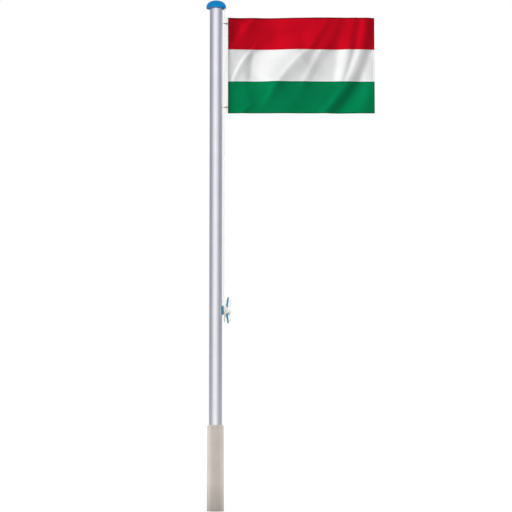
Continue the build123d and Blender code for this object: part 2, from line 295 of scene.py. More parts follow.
def turned(name, outline, segments=128, place=None):
    """A solid of revolution about Z from a closed (radius, height) outline, then put in its place."""
    points, rings = [], []
    for radius, height in outline:
        if radius < 1e-7:
            rings.append([len(points)] * segments)
            points.append((0, 0, height))
            continue
        rings.append(range(len(points), len(points) + segments))
        for i in range(segments):
            angle = 2 * pi * i / segments
            points.append((radius * cos(angle), radius * sin(angle), height))
    faces = []
    for low, high in zip(rings, rings[1:] + rings[:1]):
        for i in range(segments):
            j = (i + 1) % segments
            corners = []
            for corner in (low[i], low[j], high[j], high[i]):
                if corner not in corners:
                    corners.append(corner)
            if len(corners) > 2:
                faces.append(corners)
    if place is not None:
        points = [place @ Vector(p) for p in points]
    return mesh_from(name, points, faces)


def rod(radius, low, high, segments=128, place=None):
    """A plain cylinder about Z, to carve with."""
    return turned("rod", [(0, low), (radius, low), (radius, high), (0, high)], segments, place)


def ring_quads(rings, sides, closed):
    """Quads between rings of points that follow one another, closed into a loop or not."""
    count = rings * sides
    return [(low + k, low + (k + 1) % sides, (low + sides) % count + (k + 1) % sides,
             (low + sides) % count + k)
            for low in range(0, count if closed else count - sides, sides) for k in range(sides)]


def arc(first, last, step):
    """Angles in radians, from degrees that go up to the last."""
    return [radians(degrees) for degrees in range(first, last + 1, step)]


def aimed(origin, direction):
    """The place of a solid of revolution whose axis is turned from Z to a direction."""
    return Matrix.Translation(origin) @ Vector(direction).to_track_quat("Z", "Y").to_matrix().to_4x4()


def evaluated(piece):
    """The piece's mesh with its modifiers applied. The piece itself is removed."""
    depsgraph = bpy.context.evaluated_depsgraph_get()
    mesh = bpy.data.meshes.new_from_object(piece.evaluated_get(depsgraph), depsgraph=depsgraph)
    bpy.data.objects.remove(piece)
    return mesh


def carve(mesh, cutters, operation="DIFFERENCE"):
    """The mesh with each cutter cut from it, or joined to it."""
    piece = new_piece("work", mesh)
    helpers = [new_piece("cutter", cutter) for cutter in cutters]
    for helper in helpers:
        cut = piece.modifiers.new("cut", "BOOLEAN")
        cut.operation = operation
        cut.solver = "EXACT"
        cut.object = helper
    result = evaluated(piece)
    for helper in helpers:
        bpy.data.objects.remove(helper)
    return smooth_by_angle(result)


def block(low, high):
    """A box from its lowest to its highest corner, to carve with."""
    work = bmesh.new()
    bmesh.ops.create_cube(work, size=1)
    low, high = Vector(low), Vector(high)
    place = Matrix.Translation((low + high) / 2) @ Matrix.Diagonal((*(high - low), 1))
    bmesh.ops.transform(work, matrix=place, verts=work.verts)
    mesh = bpy.data.meshes.new("block")
    work.to_mesh(mesh)
    work.free()
    return mesh


def melted(node, grain, passes):
    """A frame node's mesh, rebuilt on a fine grid and smoothed, so that its forms flow together."""
    piece = new_piece("work", welded(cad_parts[node].data.copy()))
    remesh = piece.modifiers.new("grid", "REMESH")
    remesh.mode = "VOXEL"
    remesh.voxel_size = grain
    flow = piece.modifiers.new("flow", "SMOOTH")
    flow.factor = 0.5
    flow.iterations = passes
    return smooth(evaluated(piece))


def swept(name, path, radius, sides):
    """A round rod along a closed path, with its UV map in turns round it and metres along it."""
    count = len(path)
    ahead = [path[(i + 1) % count] - path[i] for i in range(count)]
    tangents = [(ahead[i - 1].normalized() + ahead[i].normalized()).normalized() for i in range(count)]
    side, firsts = tangents[0].orthogonal().normalized(), []
    for tangent in tangents:
        side = (side - tangent * side.dot(tangent)).normalized()
        firsts.append(side)
    last = (firsts[-1] - tangents[0] * firsts[-1].dot(tangents[0])).normalized()
    twist = atan2(last.cross(firsts[0]).dot(tangents[0]), last.dot(firsts[0]))
    points, runs = [], [0.0]
    for i, (centre, tangent, first) in enumerate(zip(path, tangents, firsts)):
        second = tangent.cross(first)
        for k in range(sides):
            angle = 2 * pi * k / sides + twist * i / count
            points.append(centre + (first * cos(angle) + second * sin(angle)) * radius)
        runs.append(runs[-1] + ahead[i].length)
    lay = [((k + across) / sides, run) for low, high in zip(runs, runs[1:]) for k in range(sides)
           for across, run in ((0, low), (1, low), (1, high), (0, high))]
    mesh = bpy.data.meshes.new(name)
    mesh.from_pydata([tuple(p) for p in points], [], ring_quads(count, sides, True))
    mesh.uv_layers.new(name="Lay").data.foreach_set("uv", np.array(lay).ravel())
    return smooth(mesh)


# ------------------------------ node trees, general

class Sheet:
    """Adds nodes to a tree. An input takes a value or another node's output."""

    def __init__(self, tree):
        self.tree = tree
        self.column = 0

    def add(self, kind, inputs=None, **settings):
        node = self.tree.nodes.new(kind)
        node.location = (self.column, 0)
        self.column += 180
        for key, value in settings.items():
            setattr(node, key, value)
        for key, value in (inputs or {}).items():
            self.feed(node.inputs[key], value)
        return node

    def feed(self, socket, value):
        if isinstance(value, bpy.types.NodeSocket):
            self.tree.links.new(value, socket)
        else:
            socket.default_value = value

    def math(self, operation, *values, clamp=False):
        node = self.add("ShaderNodeMath", dict(enumerate(values)), operation=operation)
        node.use_clamp = clamp
        return node.outputs[0]

    def vector(self, operation, *values):
        return self.add("ShaderNodeVectorMath", dict(enumerate(values)), operation=operation).outputs[0]

    def blend(self, factor, first, second):
        """A colour between two."""
        node = self.add("ShaderNodeMix", data_type="RGBA")
        self.feed(node.inputs["Factor"], factor)
        self.feed(node.inputs[6], first)
        self.feed(node.inputs[7], second)
        return node.outputs[2]

    def spread(self, value, low, high, to_low=0.0, to_high=1.0):
        """A value mapped from one range to another, smoothly and clamped."""
        return self.add(
            "ShaderNodeMapRange",
            {"Value": value, "From Min": low, "From Max": high, "To Min": to_low, "To Max": to_high},
            interpolation_type="SMOOTHSTEP").outputs[0]

    def noise(self, place, scale, detail=3.0, roughness=0.5):
        return self.add(
            "ShaderNodeTexNoise",
            {"Vector": place, "Scale": scale, "Detail": detail, "Roughness": roughness}).outputs[0]

    def mixed(self, first, second):
        """Six tenths of one value and four tenths of another."""
        return self.math("MULTIPLY_ADD", first, 0.6, self.math("MULTIPLY", second, 0.4))

    def streaks(self, width, length, detail):
        """Noise on object coordinates that is drawn out along Z."""
        place = self.add("ShaderNodeTexCoord").outputs["Object"]
        across, along = self.math("DIVIDE", 1.0, width), self.math("DIVIDE", 1.0, length)
        scale = self.add("ShaderNodeCombineXYZ", {"X": across, "Y": across, "Z": along}).outputs[0]
        return self.noise(self.vector("MULTIPLY", place, scale), 1.0, detail, 0.6)

    def lay(self):
        """The UV map, whole and by its parts."""
        place = self.add("ShaderNodeUVMap", uv_map="Lay").outputs[0]
        return place, self.add("ShaderNodeSeparateXYZ", {"Vector": place}).outputs

    def crossed(self, *counts):
        """The height of two sets of threads, counted across each, that go over and under in turn."""
        first, second = (
            self.math("ABSOLUTE", self.math("SINE", self.math("MULTIPLY", c, pi))) for c in counts)
        cells = [self.math("FLOOR", c) for c in counts]
        over = self.math("MODULO", self.math("ABSOLUTE", self.math("ADD", *cells)), 2.0)
        return self.math("MULTIPLY_ADD", self.math("SUBTRACT", first, second), over, second)


def blank(owner):
    """The emptied node tree of a material or a world."""
    owner.use_nodes = True
    owner.node_tree.nodes.clear()
    return owner.node_tree


def shader_group(name, inputs, outputs):
    """An empty shader node group with float inputs, and its Sheet, input and output nodes."""
    tree = bpy.data.node_groups.new(name, "ShaderNodeTree")
    for socket, default in inputs.items():
        tree.interface.new_socket(
            socket, in_out="INPUT", socket_type="NodeSocketFloat").default_value = default
    for socket in outputs:
        tree.interface.new_socket(socket, in_out="OUTPUT", socket_type="NodeSocketFloat")
    sheet = Sheet(tree)
    return sheet, sheet.add("NodeGroupInput").outputs, sheet.add("NodeGroupOutput").inputs


def grain_group():
    """Fine moulded grain on object coordinates, and slow changes of tone."""
    sheet, given, result = shader_group(
        "Grain", {"Grain Size": 0.002, "Patch Size": 0.2}, ("Height", "Patches"))
    place = sheet.add("ShaderNodeTexCoord").outputs["Object"]
    fine = sheet.noise(place, sheet.math("DIVIDE", 1.0, given["Grain Size"]), 2.0, 0.6)
    slow = sheet.noise(place, sheet.math("DIVIDE", 1.0, given["Patch Size"]), 4.0, 0.6)
    sheet.feed(result["Height"], fine)
    sheet.feed(result["Patches"], sheet.spread(slow, 0.3, 0.7))
    return sheet.tree


def drawn_lines_group():
    """Long fine lines along Z, as a die leaves them on drawn metal."""
    sheet, given, result = shader_group(
        "Drawn Lines", {"Line Width": 0.0015, "Line Length": 0.9}, ("Lines",))
    sheet.feed(result["Lines"], sheet.streaks(given["Line Width"], given["Line Length"], 3.0))
    return sheet.tree


def weather_group():
    """Dust that has run down in streaks, and a streaked darkening that grows down to the ground."""
    sheet, given, result = shader_group(
        "Weathering", {"Streak Width": 0.02, "Streak Length": 0.4, "Splash Height": 0.3},
        ("Dust", "Low Darkening"))
    streaks = sheet.spread(sheet.streaks(given["Streak Width"], given["Streak Length"], 4.0), 0.35, 0.7)
    place = sheet.add("ShaderNodeTexCoord").outputs["Object"]
    height = sheet.add("ShaderNodeSeparateXYZ", {"Vector": place}).outputs["Z"]
    low = sheet.math("SUBTRACT", 1.0, sheet.math("DIVIDE", height, given["Splash Height"]), clamp=True)
    sheet.feed(result["Dust"], streaks)
    streaks = sheet.math("MULTIPLY_ADD", streaks, 0.3, 0.7)
    # Darker towards the bottom, from the given height down to the ground.
    sheet.feed(result["Low Darkening"], sheet.math("MULTIPLY", low, streaks))
    return sheet.tree


def weave_group():
    """A plain weave over the UV map, which is in metres: threads go over and under in turn."""
    sheet, given, result = shader_group("Plain Weave", {"Thread": 0.001}, ("Height", "Shade"))
    place, parts = sheet.lay()
    height = sheet.crossed(*(sheet.math("DIVIDE", parts[axis], given["Thread"]) for axis in ("X", "Y")))
    slubs = sheet.noise(sheet.vector("MULTIPLY", place, (30.0, 400.0, 1.0)), 1.0, 2.0)
    sheet.feed(result["Height"], height)
    # Shade mixes the slubs' own tone with painted shade where the threads dip under one another.
    sheet.feed(result["Shade"], sheet.mixed(slubs, height))
    return sheet.tree


def braid_group():
    """A round braid over the UV map, which is in turns round the rope and metres along it."""
    sheet, given, result = shader_group(
        "Braid", {"Plaits": 16.0, "Plait Length": 0.011}, ("Height", "Shade"))
    parts = sheet.lay()[1]
    half = sheet.math("MULTIPLY", given["Plaits"], 0.5)
    around = sheet.math("MULTIPLY", parts["X"], half)
    along = sheet.math("MULTIPLY", sheet.math("DIVIDE", parts["Y"], given["Plait Length"]), half)
    height = sheet.crossed(sheet.math("ADD", around, along), sheet.math("SUBTRACT", around, along))
    sheet.feed(result["Height"], height)
    # Shade is painted shade: darker in the hollows between the plaits.
    sheet.feed(result["Shade"], sheet.spread(height, 0.0, 0.7))
    return sheet.tree


SHADER_GROUPS = {
    "Grain": grain_group,
    "Drawn Lines": drawn_lines_group,
    "Weathering": weather_group,
    "Plain Weave": weave_group,
    "Braid": braid_group,
}


# ------------------------------ materials

class Finish(Sheet):
    """A material under way: its sheet of nodes and its one shader."""

    def __init__(self, name, **fixed):
        self.material = bpy.data.materials.new(name)
        super().__init__(blank(self.material))
        self.shader = self.add("ShaderNodeBsdfPrincipled")
        self.add("ShaderNodeOutputMaterial", {"Surface": self.shader.outputs[0]})
        for socket, value in fixed.items():
            self.shader.inputs[socket.replace("_", " ")].default_value = value

    def group(self, name, **values):
        """A shared effect, built when it is first needed, with this material's own values."""
        tree = bpy.data.node_groups.get(name) or SHADER_GROUPS[name]()
        node = self.add("ShaderNodeGroup", node_tree=tree)
        for socket, value in values.items():
            node.inputs[socket.replace("_", " ")].default_value = value
        return node.outputs

    def coloured(self, tone, base, dark, light):
        """A base colour between two shades of one colour."""
        mix = self.blend(tone, shade(base, dark), shade(base, light))
        self.feed(self.shader.inputs["Base Color"], mix)

    def worn(self, marks, sharpest, dullest, low=0.3, high=0.7):
        """A roughness that goes with the marks, from where they are low to where they are high."""
        self.feed(self.shader.inputs["Roughness"], self.spread(marks, low, high, sharpest, dullest))

    def raised(self, height, depth):
        """Fine relief. Returns the material, since this comes last."""
        bump = self.add("ShaderNodeBump", {"Distance": depth, "Height": height})
        self.feed(self.shader.inputs["Normal"], bump.outputs[0])
        return self.material


def shade(colour_value, factor):
    """The colour made darker or lighter by a factor, with its alpha."""
    return tuple(min(1.0, c * factor) for c in colour_value) + (1.0,)


def finish_once(make):
    """Keeps a material by its name, so that pieces share it."""
    def wrapped(name, *values):
        return bpy.data.materials.get(name) or make(name, *values)
    return wrapped


@finish_once
def anodised(name, metal, roughness):
    finish = Finish(name, Metallic=1.0)
    lines = finish.group("Drawn Lines", Line_Width=0.0016, Line_Length=1.1)["Lines"]
    patches = finish.group("Grain", Grain_Size=0.003, Patch_Size=0.25)["Patches"]
    finish.coloured(finish.mixed(finish.spread(lines, 0.3, 0.7), patches), metal, 0.93, 1.03)
    finish.worn(lines, roughness - 0.05, roughness + 0.06, 0.25, 0.75)
    return finish.raised(lines, 0.00004)


@finish_once
def plain_metal(name, metal, roughness):
    finish = Finish(name, Metallic=1.0)
    marks = finish.group("Grain", Grain_Size=0.0006, Patch_Size=0.02)
    finish.coloured(marks["Patches"], metal, 0.82, 1.06)
    finish.worn(marks["Height"], roughness - 0.06, roughness + 0.1)
    return finish.raised(marks["Height"], 0.00003)


@finish_once
def moulded(name, plastic, roughness, gloss, grain_depth):
    finish = Finish(name, Specular_IOR_Level=0.15, Coat_Weight=gloss, Coat_Roughness=0.15, Coat_IOR=1.25)
    marks = finish.group("Grain", Grain_Size=0.0014, Patch_Size=0.06)
    finish.coloured(marks["Patches"], plastic, 0.92, 1.05)
    finish.worn(marks["Height"], roughness - 0.05, roughness + 0.08)
    return finish.raised(marks["Height"], grain_depth)


@finish_once
def weathered_plastic(name, plastic):
    finish = Finish(name, Specular_IOR_Level=0.3, Sheen_Weight=0.9, Sheen_Roughness=0.3)
    marks = finish.group("Grain", Grain_Size=0.0022, Patch_Size=0.16)
    dust_and_darkening = finish.group("Weathering", Streak_Width=0.018, Streak_Length=0.35, Splash_Height=0.28)
    clean = finish.blend(marks["Patches"], shade(plastic, 0.95), shade(plastic, 1.04))
    dusty = finish.blend(finish.math("MULTIPLY", dust_and_darkening["Dust"], 0.25), clean, shade(plastic, 0.78))
    # Darker towards the bottom, down to 0.58 of the plastic's colour at the ground.
    darker_low = finish.blend(dust_and_darkening["Low Darkening"], dusty, shade(plastic, 0.58))
    finish.feed(finish.shader.inputs["Base Color"], darker_low)
    finish.worn(marks["Height"], 0.46, 0.6)
    return finish.raised(marks["Height"], 0.00012)


@finish_once
def braided(name, yarn, plaits, plait_length):
    finish = Finish(name, Specular_IOR_Level=0.2, Sheen_Weight=0.1, Sheen_Roughness=0.5, Roughness=0.8)
    braid = finish.group("Braid", Plaits=float(plaits), Plait_Length=plait_length)
    # Painted shade in the braid's hollows, down to 0.95 of the yarn's colour.
    finish.coloured(braid["Shade"], yarn, 0.95, 1.0)
    return finish.raised(braid["Height"], 0.0006)


@finish_once
def bunting(name, dye, thread, doubled_painted_shade=0.85):
    finish = Finish(name, Specular_IOR_Level=0.08, Sheen_Weight=0.02, Sheen_Roughness=0.4, Roughness=0.7)
    weave = finish.group("Plain Weave", Thread=thread)
    patches = finish.group("Grain", Grain_Size=0.004, Patch_Size=0.35)["Patches"]
    # The weave's Shade brings painted shade where the threads dip, besides the slubs and patches.
    cloth = finish.blend(finish.mixed(weave["Shade"], patches), shade(dye, 0.9), shade(dye, 1.04))
    # Painted shade: the cloth is made darker where it lies double, wholly at hems and a quarter in
    # seams.
    doubled = finish.add("ShaderNodeAttribute", attribute_name="doubled").outputs["Fac"]
    cloth = finish.blend(doubled, cloth, shade(dye, doubled_painted_shade))
    finish.feed(finish.shader.inputs["Base Color"], cloth)
    return finish.raised(weave["Height"], thread / 5)


# ------------------------------ geometry trees

def geometry_tree(name, inputs):
    """An empty geometry node tree, its Sheet, and its input and output nodes."""
    tree = bpy.data.node_groups.new(name, "GeometryNodeTree")
    tree.interface.new_socket("Geometry", in_out="INPUT", socket_type="NodeSocketGeometry")
    for socket, kind in inputs.items():
        tree.interface.new_socket(socket, in_out="INPUT", socket_type="NodeSocket" + kind)
    tree.interface.new_socket("Geometry", in_out="OUTPUT", socket_type="NodeSocketGeometry")
    sheet = Sheet(tree)
    return sheet, sheet.add("NodeGroupInput").outputs, sheet.add("NodeGroupOutput").inputs


def facing_rotation(sheet, along=None):
    """A rotation whose Z follows the points' facing, and whose X goes along a direction."""
    facing = sheet.add("GeometryNodeInputNamedAttribute", {"Name": "facing"}, data_type="FLOAT_VECTOR")
    turn = sheet.add("FunctionNodeAlignRotationToVector", {"Vector": facing.outputs[0]}, axis="Z")
    if along is not None:
        turn = sheet.add(
            "FunctionNodeAlignRotationToVector",
            {"Rotation": turn.outputs[0], "Vector": along}, axis="X", pivot_axis="Z")
    return turn.outputs[0]


def planted(sheet, given, result, **inputs):
    """Ends a tree with real copies on points, in the tree's material."""
    copies = sheet.add("GeometryNodeInstanceOnPoints", inputs)
    real = sheet.add("GeometryNodeRealizeInstances", {"Geometry": copies.outputs[0]})
    dressed = sheet.add(
        "GeometryNodeSetMaterial", {"Geometry": real.outputs[0], "Material": given["Material"]})
    sheet.feed(result["Geometry"], dressed.outputs[0])
    return sheet.tree


def stitches_tree():
    """Stitches laid end to end along the lines of a mesh of edges."""
    sheet, given, result = geometry_tree(
        "Stitches", {"Spacing": "Float", "Length": "Float", "Thread": "Float", "Material": "Material"})
    line = sheet.add("GeometryNodeMeshToCurve", {"Mesh": given["Geometry"]})
    steps = sheet.add(
        "GeometryNodeResampleCurve", {"Curve": line.outputs[0], "Length": given["Spacing"]},
        mode="LENGTH")
    along = sheet.add("GeometryNodeInputTangent").outputs[0]
    bead = sheet.add("GeometryNodeMeshUVSphere", {"Segments": 6, "Rings": 4, "Radius": 0.5})
    scale = sheet.add(
        "ShaderNodeCombineXYZ", {"X": given["Length"], "Y": given["Thread"], "Z": given["Thread"]})
    return planted(sheet, given, result, Points=steps.outputs[0], Instance=bead.outputs[0],
                   Rotation=facing_rotation(sheet, along), Scale=scale.outputs[0])


def fixings_tree():
    """A copy of one fixing at each point, its axis along the point's facing."""
    sheet, given, result = geometry_tree("Fixings", {"Fixing": "Object", "Material": "Material"})
    fixing = sheet.add("GeometryNodeObjectInfo", {"Object": given["Fixing"]})
    return planted(sheet, given, result, Points=given["Geometry"], Instance=fixing.outputs["Geometry"],
                   Rotation=facing_rotation(sheet))


GEOMETRY_TREES = {"Stitches": stitches_tree, "Fixings": fixings_tree}


def grown(name, points, edges, facings, tree_name, **values):
    """The mesh that a geometry tree makes of points, their edges and their facings."""
    base = bpy.data.meshes.new(name)
    base.from_pydata([tuple(p) for p in points], edges, [])
    flat = np.array([tuple(f) for f in facings], float).ravel()
    base.attributes.new("facing", "FLOAT_VECTOR", "POINT").data.foreach_set("vector", flat)
    piece = new_piece("work", base)
    tree = bpy.data.node_groups.get(tree_name) or GEOMETRY_TREES[tree_name]()
    growth = piece.modifiers.new("growth", "NODES")
    growth.node_group = tree
    for socket in tree.interface.items_tree:
        if socket.in_out == "INPUT" and socket.name in values:
            growth[socket.identifier] = values[socket.name]
    return smooth(evaluated(piece))


def fixings(name, fixing, points, facings, material):
    """Copies of a fixing's mesh at points, each along its facing."""
    model = new_piece("fixing", fixing)
    mesh = grown(name, points, [], facings, "Fixings", Fixing=model, Material=material)
    bpy.data.objects.remove(model)
    return smooth_by_angle(mesh)


# ------------------------------ the sleeve

class FLAGPOLE_OT_sleeve(bpy.types.Operator):
    """Builds the ground sleeve: its tube, its flanged foot and its collar"""
    bl_idname = "flagpole.sleeve"
    bl_label = "Ground Sleeve"

    def execute(self, context):
        settings = context.scene.flagpole_sleeve
        wall, edge, groove = settings.wall, settings.edge, settings.groove
        head, foot, top = ring_high.x, wall_high.x, wall_high.z
        seat = MAST_RADIUS + 0.0015                 # the bore that the mast stands in
        stop = mast_low.z - 0.005                   # and its bottom, under the mast's foot plug
        plug, spigot = foot - wall - PLAY, head - wall - PLAY
        shoulder, crown = head - 0.0105, top + 0.010
        outlines = {
            "tube_wall": [
                (foot, wall_low.z + groove, groove / 2), (head, top - groove, groove / 2),
                (head - groove, top, 0), (head - wall, top, 0),
                (foot - wall, wall_low.z, 0), (foot - groove, wall_low.z, 0)],
            "foot": [
                (0, foot_low.z, 0), (foot_high.x, foot_low.z, edge), (foot_high.x, wall_low.z, edge / 2),
                (plug, wall_low.z, 0), (plug, foot_high.z, edge), (seat, foot_high.z, edge),
                (seat, stop, 0), (0, stop, 0)],
            "collar": [
                (spigot, ring_low.z, edge), (spigot, top, 0), (head, top, edge / 2), (head, crown, edge),
                (shoulder, ring_high.z, edge), (seat, ring_high.z, edge), (seat, ring_low.z, edge)],
        }
        nodes = {"tube_wall": "sleeve_tube", "foot": "sleeve_end_cap", "collar": "sleeve_ring"}
        for name, outline in outlines.items():
            mesh = turned(f"sleeve_{name}", fillet(outline))
            if name == "collar":
                mesh = self.with_screw_holes(mesh)
            finished(f"sleeve_{name}", mesh, weathered_plastic("sleeve plastic", settings.plastic),
                     "ground_sleeve", "sleeve", nodes[name])
        return {"FINISHED"}

    def with_screw_holes(self, collar):
        """The collar with a bore for each set screw."""
        radius, depth = 0.00415, 0.03
        ways = [towards(node, MAST_RADIUS - 0.002) for node in SET_SCREWS]
        return carve(collar, [rod(radius, 0, depth, 32, aimed(start, way)) for way, start in ways])


class FLAGPOLE_OT_set_screws(bpy.types.Operator):
    """Builds the four socket screws that clamp the mast in the sleeve's collar"""
    bl_idname = "flagpole.set_screws"
    bl_label = "Set Screws"

    def execute(self, context):
        settings = context.scene.flagpole_sleeve
        sunk = 0.0008                               # the screws' heads below the collar's surface
        facings, points = zip(*(towards(node, ring_high.x - sunk) for node in SET_SCREWS))
        radius, length = 0.004, points[0].xy.length - MAST_RADIUS - PLAY
        shank = turned("shank", fillet([
            (0, 0, 0), (radius, 0, 0.0005), (radius, -length, 0.0006), (0, -length, 0)]), 48)
        key, depth = 0.0023, 0.004                  # the socket's half width and depth
        socket = turned("socket", [(0, 0.001), (key, 0.001), (key, -depth), (0, -depth - 0.0007)], 6)
        material = plain_metal("blackened screw", settings.screw, 0.42)
        mesh = fixings("sleeve_set_screws", carve(shank, [socket]), points, facings, material)
        finished("sleeve_set_screws", mesh, None, "ground_sleeve", "dark_steel", *SET_SCREWS)
        return {"FINISHED"}


# ------------------------------ the mast

class FLAGPOLE_OT_mast(bpy.types.Operator):
    """Gives the mast's tube, its foot plug and the wheel's pin their finish"""
    bl_idname = "flagpole.mast"
    bl_label = "Mast"

    def execute(self, context):
        settings = context.scene.flagpole_mast
        finishes = {
            "mast_tube": anodised("anodised tube", settings.metal, settings.roughness),
            "mast_foot": moulded("foot plug nylon", settings.plug, 0.5, 0.0, 0.0001),
            "sheave_pin": plain_metal("pin steel", context.scene.flagpole_flag.snap, 0.3),
        }
        for node, material in finishes.items():
            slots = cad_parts[node].data.materials
            slots.clear()
            slots.append(material)
        return {"FINISHED"}


class FLAGPOLE_OT_cap(bpy.types.Operator):
    """Builds the domed cap and the wheel that the halyard runs over"""
    bl_idname = "flagpole.cap"
    bl_label = "Top Cap"

    def execute(self, context):
        settings = context.scene.flagpole_cap
        plastic = moulded("cap plastic", settings.plastic, 0.3, 0.15, 0.00004)
        finished("mast_cap", self.cap(settings), plastic, "mast", "cap", "top_cap")
        nylon = moulded("wheel nylon", settings.wheel, 0.4, 0.0, 0.00005)
        finished("halyard_wheel", self.wheel(), nylon, "mast", "sheave", "halyard_sheave")
        return {"FINISHED"}

    def cap(self, settings):
        """A domed cap with a spigot in the mast, a hollow underside, and a housing round the wheel."""
        under = mast_high.z - settings.recess
        rim_top = under + settings.rim
        outer, dome = cap_high.x, cap_high.z - rim_top
        spigot, inner = MAST_RADIUS - TUBE_WALL - PLAY, outer - settings.lip
        angles = [pi / 2 * step / 40 for step in range(1, 40)]
        outline = fillet([
            (0, cap_low.z, 0), (spigot, cap_low.z, 0.003), (spigot, mast_high.z, 0),
            (inner, mast_high.z, 0.002), (inner, under, 0.0018), (outer, under, 0.004),
            (outer, rim_top, 0)])
        outline += [(outer * cos(a), rim_top + dome * sin(a)) for a in angles] + [(0, cap_high.z)]
        air, cheek, sky = 0.001, 0.006, 6     # gap round the wheel, its housing's walls, above it all
        wheel_half = (sheave_high.x - sheave_low.x) / 2
        pocket_half = STRAND_Y + ROPE_RADIUS + air
        housing_half = sheave_high.y + air + cheek
        housing = block(
            (MAST_RADIUS - 0.02, -housing_half, under), (outer, housing_half, mast_high.z + 0.001))
        housing = carve(housing, [rod(outer - 0.003, 0, sky)], "INTERSECT")
        housing = carve(housing, [rod(MAST_RADIUS + PLAY, 0, sky)])
        pocket = block((STRAND_X - wheel_half - air, -pocket_half, under - 0.01),
                       (STRAND_X + wheel_half + air, pocket_half, SHEAVE_Z + pocket_half))
        return carve(carve(turned("mast_cap", outline, 160), [housing], "UNION"), [pocket])

    def wheel(self):
        """A wheel with a groove that the rope lies in."""
        half, radius, bore = (sheave_high.x - sheave_low.x) / 2, sheave_high.y, 0.00265
        flank, bed, brim = radius - 0.0006, ROPE_RADIUS + PLAY, ROPE_RADIUS + 0.0004
        hub, chamfer, edge = radius - 0.004, 0.0012, 0.0006
        outline = fillet([(bore, -half, 0), (hub, -half, edge), (radius, -half + chamfer, edge),
                          (flank, -brim, 0)])
        outline += [(STRAND_Y - bed * cos(a), bed * sin(a)) for a in arc(-75, 75, 15)]
        outline += fillet([(flank, brim, 0), (radius, half - chamfer, edge), (hub, half, edge),
                           (bore, half, 0)])
        return turned("halyard_wheel", outline, 96, aimed(Vector((STRAND_X, 0, SHEAVE_Z)), (1, 0, 0)))


# ------------------------------ the cleat

class FLAGPOLE_OT_cleat(bpy.types.Operator):
    """Builds the two-horned cleat and its fixing screws"""
    bl_idname = "flagpole.cleat"
    bl_label = "Cleat"

    def execute(self, context):
        settings = context.scene.flagpole_cleat
        finished("rope_cleat", melted("cleat", settings.grain, settings.softening),
                 moulded("cleat nylon", settings.plastic, 0.34, 0.2, 0.00005), "mast", "cleat", "cleat")
        nodes = ["cleat_screw_upper", "cleat_screw_lower"]
        height = settings.head_height
        points = [Vector((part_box(node)[1].x - height, 0, middle(node).z)) for node in nodes]
        material = plain_metal("pin steel", context.scene.flagpole_flag.snap, 0.3)
        screw = self.screw(settings.head / 2, height)
        mesh = fixings("cleat_screws", screw, points, [Vector((1, 0, 0))] * 2, material)
        finished("cleat_screws", mesh, None, "mast", "steel", *nodes)
        return {"FINISHED"}

    def screw(self, head, height):
        """A screw with a domed head and a cross recess."""
        shank, neck, length, under = 0.0022, 0.0025, 0.014, -0.0004
        dome = [(head * cos(a), height * sin(a)) for a in arc(0, 80, 10)]
        outline = [(0, -length), (shank, -length), (neck, under), (head, under)] + dome + [(0, height)]
        arm, blade, depth = head * 0.62, 0.0005, height * 0.55
        recess = [block((-x, -y, height - depth), (x, y, height + 0.001))
                  for x, y in ((arm, blade), (blade, arm))]
        return carve(turned("screw", outline, 48), recess)


# ------------------------------ the halyard

NECK_REACH = 0.0235      # from the cleat's middle to the upper and lower end of its neck
NECK_HALF = 0.0095       # half the neck's width
# The two turns round the neck that come first, as distances from the mast's axis: at the -Y side, below,
# at the +Y side and above, twice over, and at the -Y side again.
NECK_TURNS = [0.0836, 0.0872, 0.0915, 0.0900, 0.0918, 0.0955, 0.0990, 0.0978, 0.1000]
# The figures of eight go round the horns by degrees from their front over the -Y side, at heights from
# the cleat's middle.
EIGHTS_START = (118, -0.016)
BEHIND = 180
BACKS = [-0.0372, 0.0372, -0.0455, 0.0455, -0.0538, 0.0538, -0.0620]     # heights behind the horns
CROSSINGS = [0.75, 0.75, 0.69, 0.69, 0.62, 0.62]     # how far round each crosses the cleat's middle
EIGHTS_END = (85, -0.016)                            # how much further round and up from the last back
# The last loose turn: along the cleat's front, behind its upper horn, down, and behind its lower horn.
# Distance from the mast's axis, place across it, and height from the cleat's middle.
LOOSE_TURN = [
    (0.119, 0.020, -0.078), (0.121, 0.021, -0.096), (0.131, 0.017, -0.112), (0.141, 0.007, -0.100),
    (0.1420, 0.010, -0.068), (0.1400, 0.022, -0.028), (0.1400, 0.024, 0.020), (0.140, 0.014, 0.065),
    (0.135, 0.013, 0.092), (0.121, 0.019, 0.103), (0.104, 0.015, 0.104), (0.0935, 0.005, 0.099),
    (0.090, -0.006, 0.088), (0.092, -0.016, 0.068), (0.097, -0.024, 0.042), (0.101, -0.026, 0.008),
    (0.100, -0.026, -0.028), (0.093, -0.020, -0.064), (0.0865, -0.010, -0.094), (0.0885, 0.001, -0.116),
    (0.099, 0.010, -0.121), (0.100, 0.018, -0.104), (0.092, 0.019, -0.078), (0.085, 0.016, -0.050),
]


def horn_at(height):
    """The distance of the horns' axis from the mast's, and their radius, at heights from the middle."""
    settings = bpy.context.scene.flagpole_halyard
    reach = (cleat_high.z - cleat_low.z) / 2 - settings.horn_tip
    out = np.clip((np.abs(height) - NECK_REACH) / (reach - NECK_REACH), 0, 1)
    return (MAST_RADIUS + settings.standoff + settings.flare * out,
            settings.horn + (settings.horn_tip - settings.horn) * out)


